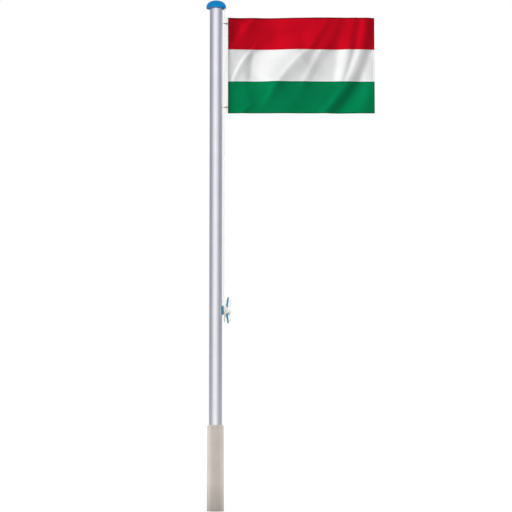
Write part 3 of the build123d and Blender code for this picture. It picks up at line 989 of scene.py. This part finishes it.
def neck_turns():
    """Places round the neck, from the strand that comes down to where the figures of eight begin."""
    bend, straight = STRAND_Y, NECK_REACH - NECK_HALF
    slack = cos(radians(18.75))      # the rope cuts the corners between these places
    places = []
    for number in range(1, len(NECK_TURNS) - 1):
        before, out, after = NECK_TURNS[number - 1:number + 2]
        if number % 2 == 0:
            places.append((out, bend if number % 4 == 2 else -bend, 0.0))
            continue
        way = -1 if number % 4 == 1 else 1
        for part in (0, 0.25, 0.5, 0.75, 1):
            angle, rest = radians(15 + 150 * part), 1 - part
            x = (before + out) / 2 * rest ** 2 + out * 2 * part * rest + (out + after) / 2 * part ** 2
            rise = straight + bend * sin(angle) / slack
            places.append((x, way * bend * cos(angle) / slack, way * rise))
    end = NECK_TURNS[-1]
    return np.array(places + [(end, -bend, 0.010), (end + 0.0012, -bend, -0.002)])


def eights():
    """Degrees round the horns from the front over the -Y side, and heights, for the figures of eight."""
    (first, first_height), (further, lower) = EIGHTS_START, EIGHTS_END
    part = np.linspace(0, 1, 8)[:-1]
    turns = [first + (BEHIND - first) * part ** 1.5]
    heights = [first_height + (BACKS[0] - first_height) * np.sin(pi / 2 * part)]
    part = np.linspace(0, 1, 41)[:-1]
    for number, (low, high, crossing) in enumerate(zip(BACKS, BACKS[1:], CROSSINGS)):
        share_up = (1 - np.cos(pi * part ** (np.log(0.5) / np.log(crossing)))) / 2
        turns.append(BEHIND + 360 * (number + part))
        heights.append(low + (high - low) * share_up)
    part = np.linspace(0, 1, 9)
    turns.append(BEHIND + 360 * (len(BACKS) - 1) + further * part)
    heights.append(BACKS[-1] + lower * part ** 2)
    return np.concatenate(turns), np.concatenate(heights)


def laid_on(under, turns, heights, reach):
    """Places for the rope, each pushed out from the horns' axis until it lies on what is under it.

    The rope that is there already goes through the places under. A place stays at least at its reach
    from the axis, and close to the horn where its reach is 0.
    """
    steps, eased_steps = 400, 360    # in which it settles, and of these the ones that also ease it
    push, ease = 0.5, 0.3            # shares of a gap and of a bend that a step makes up for
    clearance, skip = 0.0001, 4      # between ropes, and how many places back along it are left out
    strands_end = -0.03              # height down to which the strands pass behind the cleat
    strands_room, mast_room = 2 * ROPE_RADIUS, 0.003    # from the strands' axis, down to there and below
    axis, horn = horn_at(heights)
    across = np.radians(turns)
    outwards = np.stack([np.cos(across), -np.sin(across), np.zeros_like(across)], -1)
    backwards, sidewards = -outwards[:, 0], np.abs(outwards[:, 1])
    past = np.maximum(np.abs(heights) - (NECK_REACH - NECK_HALF), 0)
    beside = np.sqrt(np.maximum((NECK_HALF + ROPE_RADIUS) ** 2 - past ** 2, 0))
    beside = np.where(backwards > 0, beside / np.maximum(sidewards, 0.5), 0)
    least = np.maximum(np.maximum(horn + ROPE_RADIUS + 2 * clearance, beside), reach)
    nearest = STRAND_X + np.where(heights > strands_end, strands_room, mast_room)
    room = np.where(backwards > 0.5, (axis - nearest) / np.maximum(backwards, 0.5), 1)
    room = np.maximum(np.where(reach > 0, 1, room), least)
    centre = np.stack([axis, np.zeros_like(axis), heights], -1)
    radius = least.copy()
    order = np.arange(len(under) + len(radius))
    earlier = order[None, :] < order[len(under):, None] - skip
    for step in range(steps):
        places = centre + outwards * radius[:, None]
        gaps = np.linalg.norm(places[:, None] - np.concatenate([under, places])[None], axis=-1)
        short = np.where(earlier, 2 * ROPE_RADIUS + clearance - gaps, 0).max(axis=1)
        radius = np.minimum(radius + push * np.maximum(short, 0), room)
        if step < eased_steps:
            eased = radius.copy()
            eased[1:-1] += ease * ((radius[:-2] + radius[2:]) / 2 - radius[1:-1])
            radius = np.maximum(eased, least)
    return centre + outwards * radius[:, None]


def halyard_route():
    """The closed loop: over the wheel, down, round the cleat's neck and horns, and up again."""
    w, x = STRAND_Y, STRAND_X
    rise = [CLEAT_Z + 0.10, CLEAT_Z + 1.2, SHEAVE_Z - 0.3, SHEAVE_Z - 0.02]
    over = w / cos(radians(10))      # the rope cuts the corners between the places over the wheel
    points = [(x, w, z) for z in rise]
    points += [(x, over * cos(a), SHEAVE_Z + over * sin(a)) for a in arc(10, 170, 20)]
    points += [(x, -w, z) for z in (*reversed(rise), CLEAT_Z + 0.02)]
    neck = neck_turns()
    turns, heights = eights()
    loose = np.array([tuple(p) for p in smooth_route(LOOSE_TURN, False)])[1::3]
    loose_out = loose[:, 0] - horn_at(loose[:, 2])[0]
    turns = np.concatenate([turns, np.degrees(np.arctan2(-loose[:, 1], loose_out))])
    reach = np.concatenate([np.zeros_like(heights), np.hypot(loose[:, 1], loose_out)])
    heights = np.concatenate([heights, loose[:, 2]])
    near_cleat = np.arange(-0.02, 0.12, 0.004)
    strands = np.array([(x, side * w, z) for side in (1, -1) for z in near_cleat])
    winding = laid_on(np.concatenate([strands, neck]), turns, heights, reach)
    points += [(px, py, CLEAT_Z + pz) for px, py, pz in np.concatenate([neck, winding])]
    return points + [(x, w, CLEAT_Z - 0.022), (x, w, CLEAT_Z + 0.02)]


def smooth_route(points, closed):
    """Points along the smooth line that the route's points guide."""
    curve = bpy.data.curves.new("route", "CURVE")
    curve.dimensions = "3D"
    curve.resolution_u = 6
    spline = curve.splines.new("NURBS")
    spline.points.add(len(points) - 1)
    for point, place in zip(spline.points, points):
        point.co = (*place, 1)
    spline.order_u = 3
    spline.use_cyclic_u = closed
    spline.use_endpoint_u = not closed
    return [vertex.co.copy() for vertex in evaluated(new_piece("route", curve)).vertices]


class FLAGPOLE_OT_halyard(bpy.types.Operator):
    """Builds the halyard: an endless rope over the wheel, made fast in eights on the cleat"""
    bl_idname = "flagpole.halyard"
    bl_label = "Halyard"

    def execute(self, context):
        settings = context.scene.flagpole_halyard
        mesh = swept("halyard_rope", smooth_route(halyard_route(), True), ROPE_RADIUS, 20)
        material = braided("braided rope", settings.yarn, settings.plaits, settings.plait_length)
        finished("halyard_rope", mesh, material, "mast", "rope",
                 "halyard_hoist_strand", "halyard_return_strand", "halyard_head_bight",
                 "halyard_foot_bight", *(f"halyard_turn_{number}" for number in range(1, 6)))
        return {"FINISHED"}


# ------------------------------ the flag

# The folds that the wind blows into the cloth, as ridges towards the viewer. Each has its foot and its
# head as metres along the cloth and up it, how far it bows to the left, its height, and the widths of
# its left and right flanks.
FOLDS = [
    ((0.360, 0.70), (0.420, 1.00), 0.000, -0.026, 0.220, 0.200),
    ((0.090, 0.80), (0.110, 1.02), 0.000, -0.013, 0.080, 0.080),
    ((0.240, 0.38), (0.260, 0.60), 0.000, -0.016, 0.060, 0.180),
    ((0.055, 0.35), (0.250, 0.66), 0.020, 0.006, 0.022, 0.040),
    ((0.050, 0.69), (0.250, 0.97), 0.010, 0.006, 0.035, 0.060),
    ((0.160, 0.07), (0.200, 0.31), 0.000, 0.006, 0.090, 0.090),
    ((0.460, 0.35), (0.720, 0.57), 0.015, 0.026, 0.220, 0.150),
    ((0.420, 0.18), (0.810, 0.66), 0.030, 0.005, 0.030, 0.050),
    ((0.860, 0.74), (0.980, 0.94), 0.000, 0.014, 0.300, 0.060),
    ((0.400, 0.12), (0.460, 0.27), 0.000, 0.004, 0.050, 0.080),
    ((0.560, 0.00), (0.780, 0.28), 0.000, 0.009, 0.180, 0.090),
    ((0.790, 0.35), (0.940, 0.63), 0.000, 0.006, 0.040, 0.045),
    ((1.010, 0.70), (1.110, 0.95), 0.000, 0.010, 0.110, 0.060),
    ((1.220, 0.70), (1.290, 0.97), 0.000, 0.008, 0.080, 0.045),
    ((1.070, 0.42), (1.100, 0.64), 0.000, -0.015, 0.200, 0.070),
    ((1.160, 0.37), (1.250, 0.66), 0.000, 0.007, 0.060, 0.030),
    ((0.980, 0.00), (1.400, 0.96), -0.095, 0.010, 0.045, 0.080),
    ((1.090, 0.00), (1.500, 0.97), -0.115, -0.014, 0.070, 0.110),
    ((1.170, 0.02), (1.360, 0.28), 0.000, -0.006, 0.130, 0.080),
    ((1.360, 0.00), (1.450, 0.30), 0.000, 0.004, 0.060, 0.070),
    ((1.420, 0.40), (1.490, 0.60), 0.000, 0.006, 0.050, 0.060),
    ((0.520, 0.80), (0.740, 0.82), 0.000, -0.016, 0.090, 0.120),
    ((0.130, 0.00), (0.175, 0.04), 0.000, 0.005, 0.030, 0.030),
    ((1.550, 0.00), (1.550, 1.00), 0.000, -0.010, 0.090, 0.090),
]
FOLD_END = 0.10          # how far a fold runs out past its ends
FREE_LENGTH = 0.06       # from the heading to where the cloth folds freely
CLOTH_GRID = 0.006       # largest cell of the cloth's mesh
SEAM_STEP = 0.005        # from one point of a seam to the next
STITCH_SHARE = 0.72      # of the distance between stitches that a stitch takes up
INSET = 0.002            # from an edge of cloth to the seam beside it


def fold_depth(along, up):
    """How far the cloth stands out towards the viewer, over arrays of places on it."""
    depth = np.zeros_like(along)
    for foot, head, bow, height, left, right in FOLDS:
        run, rise = head[0] - foot[0], head[1] - foot[1]
        length = sqrt(run ** 2 + rise ** 2)
        run, rise = run / length, rise / length
        share_along = ((along - foot[0]) * run + (up - foot[1]) * rise) / length
        inside = np.clip(share_along, 0, 1)
        across = (along - foot[0]) * rise - (up - foot[1]) * run + bow * 4 * inside * (1 - inside)
        width = np.where(across < 0, left, right)
        beyond = np.abs(share_along - inside) * length
        depth += height * np.exp(-(across / width) ** 2 - (beyond / FOLD_END) ** 2)
    free = np.clip(along / FREE_LENGTH, 0, 1)
    return depth * free * free * (3 - 2 * free)


def cloth_points(along, up, fullness):
    """Places on the cloth's middle surface and the normals towards the viewer."""
    along, up = np.asarray(along, float), np.asarray(up, float)
    tiny = 0.0005
    depth = fold_depth(along, up) * fullness
    slope_x = (fold_depth(along + tiny, up) - fold_depth(along - tiny, up)) * fullness / (2 * tiny)
    slope_z = (fold_depth(along, up + tiny) - fold_depth(along, up - tiny)) * fullness / (2 * tiny)
    points = np.stack([band_low.x + along, FLAG_Y - depth, heading_low.z + up], -1)
    normals = np.stack([-slope_x, -np.ones_like(depth), -slope_z], -1)
    normals /= np.linalg.norm(normals, axis=-1, keepdims=True)
    return points, normals


def cuts(low, high, step, hem_low=0.0, hem_high=0.0):
    """Places of the grid's lines from low to high, close together where a hem begins or ends."""
    ledge = 0.0006
    stops = [low]
    if hem_low:
        stops += [low + hem_low, low + hem_low + ledge]
    if hem_high:
        stops += [high - hem_high - ledge, high - hem_high]
    stops.append(high)
    places = [low]
    for start, end in zip(stops, stops[1:]):
        count = max(1, ceil((end - start) / step))
        places += [start + (end - start) * (i + 1) / count for i in range(count)]
    return np.array(places)


def hem_widths(settings, hem_low, hem_high):
    """Widths of the doubled cloth at a band's lower and upper edge: a hem's, or half of it in a seam."""
    return [settings.hem if folded else settings.hem / 2 for folded in (hem_low, hem_high)]


def cloth_mesh(name, low, high, settings, hem_low, hem_high):
    """A band of cloth from one height to another, thicker at its hems, closed all round."""
    hem, lap, tiny = settings.hem, settings.lap, 1e-5
    free = 0.0025                    # from the tape's edge to where the cloth is as thin as elsewhere
    edge_low, edge_high = hem_widths(settings, hem_low, hem_high)
    along = np.concatenate([[-lap, 0.0], cuts(free, FLAG_FLY, CLOTH_GRID, hem - lap, hem)])
    grid_along, grid_up = np.meshgrid(along, cuts(low, high, CLOTH_GRID, edge_low, edge_high))
    middle_points, normals = cloth_points(grid_along, grid_up, settings.fullness)
    at_low, at_high = grid_up < low + edge_low + tiny, grid_up > high - edge_high - tiny
    at_ends = (grid_along > FLAG_FLY - hem - tiny) | (grid_along < hem - lap + free + tiny)
    hemmed = at_ends | (at_low & hem_low) | (at_high & hem_high)
    doubled = at_ends | at_low | at_high
    half = np.where(doubled, settings.cloth, settings.cloth / 2)
    half = np.where(grid_along < free / 2, TAPE_HALF + settings.cloth, half)[..., None]
    sides = [(middle_points + normals * way * half).reshape(-1, 3) for way in (1, -1)]
    rows, columns = grid_along.shape
    count = rows * columns
    index = np.arange(count).reshape(rows, columns)
    quads = np.stack([index[:-1, :-1], index[:-1, 1:], index[1:, 1:], index[1:, :-1]], -1).reshape(-1, 4)
    rim = np.concatenate([index[0, :], index[1:, -1], index[-1, -2::-1], index[-2:0:-1, 0]])
    after = np.roll(rim, -1)
    walls = np.stack([rim, rim + count, after + count, after], -1)
    faces = np.concatenate([quads, quads[:, ::-1] + count, walls])
    mesh = bpy.data.meshes.new(name)
    mesh.from_pydata(np.concatenate(sides).tolist(), [], faces.tolist())
    place = np.tile(np.stack([grid_along.ravel(), grid_up.ravel()], -1), (2, 1))
    mesh.uv_layers.new(name="Lay").data.foreach_set("uv", place[faces.ravel()].ravel())
    # Marks for the painted shade where the cloth lies double: 1 at hems, 0.25 in seams.
    marks = np.tile(np.where(hemmed, 1.0, np.where(doubled, 0.25, 0.0)).ravel(), 2)
    mesh.attributes.new("doubled", "FLOAT", "POINT").data.foreach_set("value", marks)
    return smooth_by_angle(mesh, 50)


def seam_line(start, end, settings, side):
    """Points and facings of a straight seam on the cloth, on its front (1) or back (-1)."""
    start, end = np.array(start), np.array(end)
    count = ceil(sqrt(((end - start) ** 2).sum()) / SEAM_STEP) + 1
    along, up = start[:, None] + (end - start)[:, None] * np.linspace(0, 1, count)
    points, normals = cloth_points(along, up, settings.fullness)
    return points + normals * side * settings.cloth, normals * side


def stitching(name, lines, settings, thread, material):
    """Stitches along lines, each of which is given by its points and their facings."""
    points, edges, facings = [], [], []
    for line, normals in lines:
        first = len(points)
        points += list(line)
        facings += list(normals)
        edges += [(i, i + 1) for i in range(first, len(points) - 1)]
    return grown(name, points, edges, facings, "Stitches", Spacing=settings.stitch,
                 Length=settings.stitch * STITCH_SHARE, Thread=thread, Material=material)


class FLAGPOLE_OT_flag(bpy.types.Operator):
    """Builds the flag's three bands of cloth with their hems and stitches"""
    bl_idname = "flagpole.flag"
    bl_label = "Flag Cloth"

    def execute(self, context):
        settings = context.scene.flagpole_flag
        # Dye, painted shade where the cloth lies double, and whether there is a hem at the bottom and at
        # the top
        bands = {
            "green": (settings.green, 0.5, True, False),
            "white": (settings.white, 1.0, False, False),
            "red": (settings.red, 0.38, False, True),
        }
        for name, (dye, doubled_painted_shade, *hems) in bands.items():
            low, high = (corner.z - heading_low.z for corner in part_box(f"flag_{name}_band"))
            mesh = cloth_mesh(f"flag_{name}_cloth", low, high, settings, *hems)
            material = bunting(f"{name} bunting", dye, 0.0011, doubled_painted_shade)
            cloth = finished(
                f"flag_{name}_cloth", mesh, material, "flag", f"{name}_cloth", f"flag_{name}_band")
            thread = bunting(f"{name} thread", shade(dye, 0.92)[:3], 0.0006)
            lines = [seam_line(*seam, settings, side)
                     for seam in self.seams(low, high, hems, settings) for side in (1, -1)]
            mesh = stitching(f"flag_{name}_stitches", lines, settings, 0.0007, thread)
            sewing = finished(f"flag_{name}_stitches", mesh, None, "flag", f"{name}_cloth")
            cloth.visible_glossy = sewing.visible_glossy = False
        return {"FINISHED"}

    def seams(self, low, high, hems, settings):
        """The ends of a band's seams: one or two along each edge, and two up the fly end."""
        rows = []
        widths = hem_widths(settings, *hems)
        for edge, inwards, folded, width in zip((low, high), (1, -1), hems, widths):
            rows.append(edge + inwards * (width - INSET / 2))
            if folded:
                rows.append(edge + inwards * INSET)
        seams = [((INSET, up), (FLAG_FLY - INSET, up)) for up in rows]
        for along in (FLAG_FLY - INSET, FLAG_FLY - settings.hem + INSET / 2):
            seams.append(((along, low + INSET), (along, high - INSET)))
        return seams


class FLAGPOLE_OT_heading(bpy.types.Operator):
    """Builds the heading tape along the flag's hoist, with its stitches and grommets"""
    bl_idname = "flagpole.heading"
    bl_label = "Heading Tape"

    def execute(self, context):
        settings = context.scene.flagpole_flag
        tape = finished("flag_heading_tape", self.tape(), bunting("heading tape", settings.tape, 0.0014),
                        "flag", "heading", "flag_heading")
        thread = bunting("heading thread", shade(settings.tape, 0.75)[:3], 0.0006)
        mesh = stitching("flag_heading_stitches", self.seams(), settings, 0.0008, thread)
        sewing = finished("flag_heading_stitches", mesh, None, "flag", "heading")
        metal = plain_metal("nickelled brass", settings.grommet, 0.32)
        rings = [finished(f"flag_grommet_{which}", self.grommet(which), metal,
                          "flag", "grommet", f"grommet_{which}") for which in ("upper", "lower")]
        return {"FINISHED"}

    def tape(self):
        """A flat tape with rounded edges and a hole for each grommet."""
        left, right, half, corner = heading_low.x, heading_high.x, TAPE_HALF, 0.0012
        outline = fillet([(left, -half, corner), (right, -half, corner), (right, half, corner),
                          (left, half, corner)], 3)
        heights = cuts(0, FLAG_HOIST, 0.02)
        points = [(x, FLAG_Y + y, heading_low.z + z) for z in heights for x, y in outline]
        count = len(outline)
        faces = ring_quads(len(heights), count, False)
        faces += [tuple(range(count - 1, -1, -1)), tuple(range(len(points) - count, len(points)))]
        hole, through = 0.0082, 0.01
        mesh = carve(mesh_from("flag_heading_tape", points, faces), [
            rod(hole, -through, through, 48, aimed(middle(f"grommet_{which}"), (0, 1, 0)))
            for which in ("upper", "lower")])
        lay = mesh.uv_layers.new(name="Lay").data
        for loop in mesh.loops:
            lay[loop.index].uv = mesh.vertices[loop.vertex_index].co.xz
        return mesh

    def seams(self):
        """Points and facings of three seams up the tape, on both of its sides."""
        heights = np.linspace(heading_low.z + INSET, heading_high.z - INSET, 120)
        edge, lap_edge = 0.0022, 0.0005
        places = (heading_low.x + edge, heading_high.x - lap_edge, heading_high.x + edge)
        return [([(x, FLAG_Y + side * TAPE_HALF, z) for z in heights], [(0, side, 0)] * len(heights))
                for x in places for side in (-1, 1)]

    def grommet(self, which):
        """A ring rolled over the tape on both sides."""
        low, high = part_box(f"grommet_{which}")
        flange, bore, inner, wall = (high.x - low.x) / 2, 0.0068, 0.0022, 0.0012
        roll, crest = (high.y - low.y) / 2 - TAPE_HALF, bore + inner
        side = [(bore, TAPE_HALF - 0.001)]
        side += [(crest - inner * cos(a), TAPE_HALF + roll * sin(a)) for a in arc(0, 75, 15)]
        side += [(crest + (flange - crest) * sin(a), TAPE_HALF + roll * cos(a)) for a in arc(0, 90, 15)]
        barrel = [(bore + wall, TAPE_HALF), (bore + wall, -TAPE_HALF)]
        outline = side + barrel + [(r, -h) for r, h in reversed(side)]
        return turned(f"flag_grommet_{which}", outline, 64, aimed((low + high) / 2, (0, -1, 0)))


class FLAGPOLE_OT_snaps(bpy.types.Operator):
    """Builds the two snap hooks that hold the flag on the halyard"""
    bl_idname = "flagpole.snaps"
    bl_label = "Snap Hooks"

    def execute(self, context):
        material = plain_metal("snap steel", context.scene.flagpole_flag.snap, 0.3)
        for which in ("upper", "lower"):
            hook, gate = f"snap_hook_{which}", f"snap_gate_{which}"
            for name, mesh, node in (("snap", melted(hook, 0.0004, 4), hook),
                                     ("snap_gate", self.gate(*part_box(gate)), gate)):
                finished(f"flag_{name}_{which}", mesh, material, "flag", "steel", node)
        return {"FINISHED"}

    def gate(self, low, high):
        """A ribbed pin."""
        length, radius = high.x - low.x, (high.z - low.z) / 2
        ribs, cut = 6, 0.0003
        outline = [(0, 0), (radius - 0.0004, 0), (radius, 0.0004)]
        for start in (length * (0.15 + 0.7 * i / ribs) for i in range(ribs)):
            outline += [(radius, start), (radius - cut, start + cut),
                        (radius - cut, start + 2 * cut), (radius, start + 3 * cut)]
        outline += [(radius, length - 0.0004), (radius - 0.0004, length), (0, length)]
        origin = Vector((low.x, (low.y + high.y) / 2, (low.z + high.z) / 2))
        return turned("gate", outline, 40, aimed(origin, (1, 0, 0)))


# ------------------------------ the studio

def sun(name, azimuth, elevation, level, softness, receivers):
    """A soft distant lamp for matt surfaces. Its level is how bright it makes white, faced on."""
    lamp = bpy.data.lights.new(name, "SUN")
    lamp.energy = level * pi
    lamp.angle = radians(softness)
    light = bpy.data.objects.new(name, lamp)
    bpy.context.scene.collection.objects.link(light)
    turn, lift = radians(azimuth), radians(elevation)
    direction = Vector((sin(turn) * cos(lift), -cos(turn) * cos(lift), sin(lift)))
    light.rotation_euler = direction.to_track_quat("Z", "Y").to_euler()
    light.visible_glossy = False
    light.light_linking.receiver_collection = receivers


# For each group of pieces: its lamps' height and softness in degrees, and the azimuth and level of each.
# Azimuth 0 is the viewer's side and azimuth 90 is +X.
LAMPS = [
    ("hardware", 30, 30, ((0, 0.27), (60, 0.43), (120, 0.43), (180, 0.27), (240, 0.43), (300, 0.43))),
    ("mouldings", 0, 20, ((-20, 0.60), (70, 0.46), (160, 0.52), (250, 0.46))),
    ("sleeve", 12, 20, (
        (-25, 0.31), (70, 0.433), (110, 0.433), (180, 0.235), (250, 0.433), (290, 0.433))),
    ("cloth", 25, 12, ((-70, 1.19), (110, 1.19))),
]


class FLAGPOLE_OT_camera(bpy.types.Operator):
    """Sets up the camera"""
    bl_idname = "flagpole.camera"
    bl_label = "Camera"

    def execute(self, context):
        settings = context.scene.flagpole_studio
        camera = bpy.data.cameras.new("camera")
        camera.lens = settings.lens
        camera.sensor_width = 36.0
        camera.clip_end = 500.0
        holder = bpy.data.objects.new("camera", camera)
        context.scene.collection.objects.link(holder)
        holder.location = (settings.aside, -settings.distance, settings.eye_level)
        holder.rotation_euler = (pi / 2 + settings.tilt, 0, 0)
        context.scene.camera = holder
        return {"FINISHED"}


class FLAGPOLE_OT_studio(bpy.types.Operator):
    """Sets up the white surroundings, the floor and the lamps"""
    bl_idname = "flagpole.studio"
    bl_label = "Studio"

    def execute(self, context):
        settings = context.scene.flagpole_studio
        context.scene.view_settings.view_transform = "Standard"
        self.surroundings(settings)
        floor = self.floor(settings)
        floor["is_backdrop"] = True
        self.lamps(floor)
        return {"FINISHED"}

    def reflected(self, sheet, settings, direction):
        """What shiny surfaces see: white before the mast, duller low down, grey at its sides."""
        ahead = sheet.vector("NORMALIZE", direction)
        turn = settings.key
        depth = sheet.add("ShaderNodeVectorMath", {0: ahead, 1: (sin(turn), cos(turn), 0)},
                          operation="DOT_PRODUCT").outputs["Value"]
        gain = sheet.spread(depth, -0.4, 0.4, 1.0 - settings.sides, settings.behind - settings.sides)
        level = sheet.math("MULTIPLY_ADD", sheet.math("MULTIPLY", depth, depth), gain, settings.sides)
        lift = sheet.add("ShaderNodeSeparateXYZ", {"Vector": ahead}).outputs["Z"]
        return sheet.math("MULTIPLY", level, sheet.spread(lift, 0.0, settings.low_to, settings.low, 1.0))

    def mirrored(self, sheet, settings, place):
        """The rays, and what they see in a mirror at a place of a texture's coordinates."""
        rays = sheet.add("ShaderNodeLightPath").outputs
        direction = sheet.add("ShaderNodeTexCoord").outputs[place]
        level = self.reflected(sheet, settings, direction)
        return rays, sheet.math("MULTIPLY", rays["Is Glossy Ray"], level)

    def surroundings(self, settings):
        """White to the camera, grey to matt surfaces, and as reflected to shiny ones."""
        world = bpy.context.scene.world = bpy.data.worlds.new("studio")
        sheet = Sheet(blank(world))
        rays, mirrored = self.mirrored(sheet, settings, "Generated")
        seen = sheet.math("MAXIMUM", rays["Is Camera Ray"], rays["Is Transmission Ray"])
        level = sheet.math("MAXIMUM", sheet.math("MAXIMUM", seen, mirrored),
                           sheet.math("MULTIPLY", rays["Is Diffuse Ray"], settings.ambient))
        tint = sheet.math("SUBTRACT", rays["Is Glossy Ray"], mirrored, clamp=True)
        seen_colour = sheet.blend(tint, (1, 1, 1, 1), (0.8, 0.8, 1, 1))
        light = sheet.add("ShaderNodeBackground", {"Color": seen_colour, "Strength": level})
        sheet.add("ShaderNodeOutputWorld", {"Surface": light.outputs[0]})

    def floor(self, settings):
        """A wide pale floor that takes shadows, and can be looked through from below."""
        work = bmesh.new()
        bmesh.ops.create_circle(work, cap_ends=True, segments=96, radius=settings.floor)
        mesh = bpy.data.meshes.new("floor")
        work.to_mesh(mesh)
        work.free()
        material = bpy.data.materials.new("pale floor")
        sheet = Sheet(blank(material))
        rays, mirrored = self.mirrored(sheet, settings, "Object")
        seen = sheet.math("MAXIMUM", rays["Is Camera Ray"], mirrored)
        matt = sheet.add("ShaderNodeBsdfDiffuse", {"Color": (0.35, 0.35, 0.35, 1)})
        lamplight = 0.47         # what the lamps and the world already give the floor
        glow = sheet.add("ShaderNodeEmission", {
            "Color": (1, 1, 1, 1), "Strength": sheet.math("SUBTRACT", seen, lamplight, clamp=True)})
        top = sheet.add("ShaderNodeAddShader", {0: matt.outputs[0], 1: glow.outputs[0]})
        below = sheet.add("ShaderNodeBsdfTransparent")
        side = sheet.add("ShaderNodeNewGeometry").outputs["Backfacing"]
        total = sheet.add("ShaderNodeMixShader", {0: side, 1: top.outputs[0], 2: below.outputs[0]})
        sheet.add("ShaderNodeOutputMaterial", {"Surface": total.outputs[0]})
        return new_piece("floor", mesh, material)

    def lamps(self, floor):
        """Rings of lamps, each for one group of pieces."""
        groups = {name: bpy.data.collections.new(f"lit as {name}") for name, *_ in LAMPS}
        groups["hardware"].objects.link(floor)
        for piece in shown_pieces():
            group = "hardware"
            if piece.name.endswith(("_cloth", "_stitches")) and "heading" not in piece.name:
                group = "cloth"
            elif piece.name in ("mast_cap", "rope_cleat"):
                group = "mouldings"
            elif piece.name.startswith("sleeve"):
                group = "sleeve"
            groups[group].objects.link(piece)
        for name, elevation, softness, ring in LAMPS:
            for azimuth, level in ring:
                sun(f"{name}_{azimuth}", azimuth, elevation, level, softness, groups[name])


# ------------------------------ the add-on

OPERATORS = (
    FLAGPOLE_OT_camera,
    FLAGPOLE_OT_mast,
    FLAGPOLE_OT_sleeve,
    FLAGPOLE_OT_set_screws,
    FLAGPOLE_OT_cap,
    FLAGPOLE_OT_cleat,
    FLAGPOLE_OT_halyard,
    FLAGPOLE_OT_snaps,
    FLAGPOLE_OT_heading,
    FLAGPOLE_OT_flag,
    FLAGPOLE_OT_studio,
)


class FLAGPOLE_PT_panel(bpy.types.Panel):
    """The flagpole's settings and the buttons that build its pieces"""
    bl_idname = "FLAGPOLE_PT_panel"
    bl_label = "Flagpole"
    bl_space_type = "VIEW_3D"
    bl_region_type = "UI"
    bl_category = "Flagpole"

    def draw(self, context):
        for operator in OPERATORS:
            self.layout.operator(operator.bl_idname)
        for name, group in GROUPS.items():
            box = self.layout.box()
            box.label(text=name.removeprefix("flagpole_").title())
            for setting in group.__annotations__:
                box.prop(getattr(context.scene, name), setting)


def register():
    for name, group in GROUPS.items():
        bpy.utils.register_class(group)
        setattr(bpy.types.Scene, name, PointerProperty(type=group))
    for operator in OPERATORS:
        bpy.utils.register_class(operator)
    bpy.utils.register_class(FLAGPOLE_PT_panel)


def unregister():
    bpy.utils.unregister_class(FLAGPOLE_PT_panel)
    for operator in reversed(OPERATORS):
        bpy.utils.unregister_class(operator)
    for name, group in GROUPS.items():
        delattr(bpy.types.Scene, name)
        bpy.utils.unregister_class(group)


def main():
    register()
    for operator in OPERATORS:
        group, name = operator.bl_idname.split(".")
        getattr(getattr(bpy.ops, group), name)()


if __name__ == "__main__":
    main()
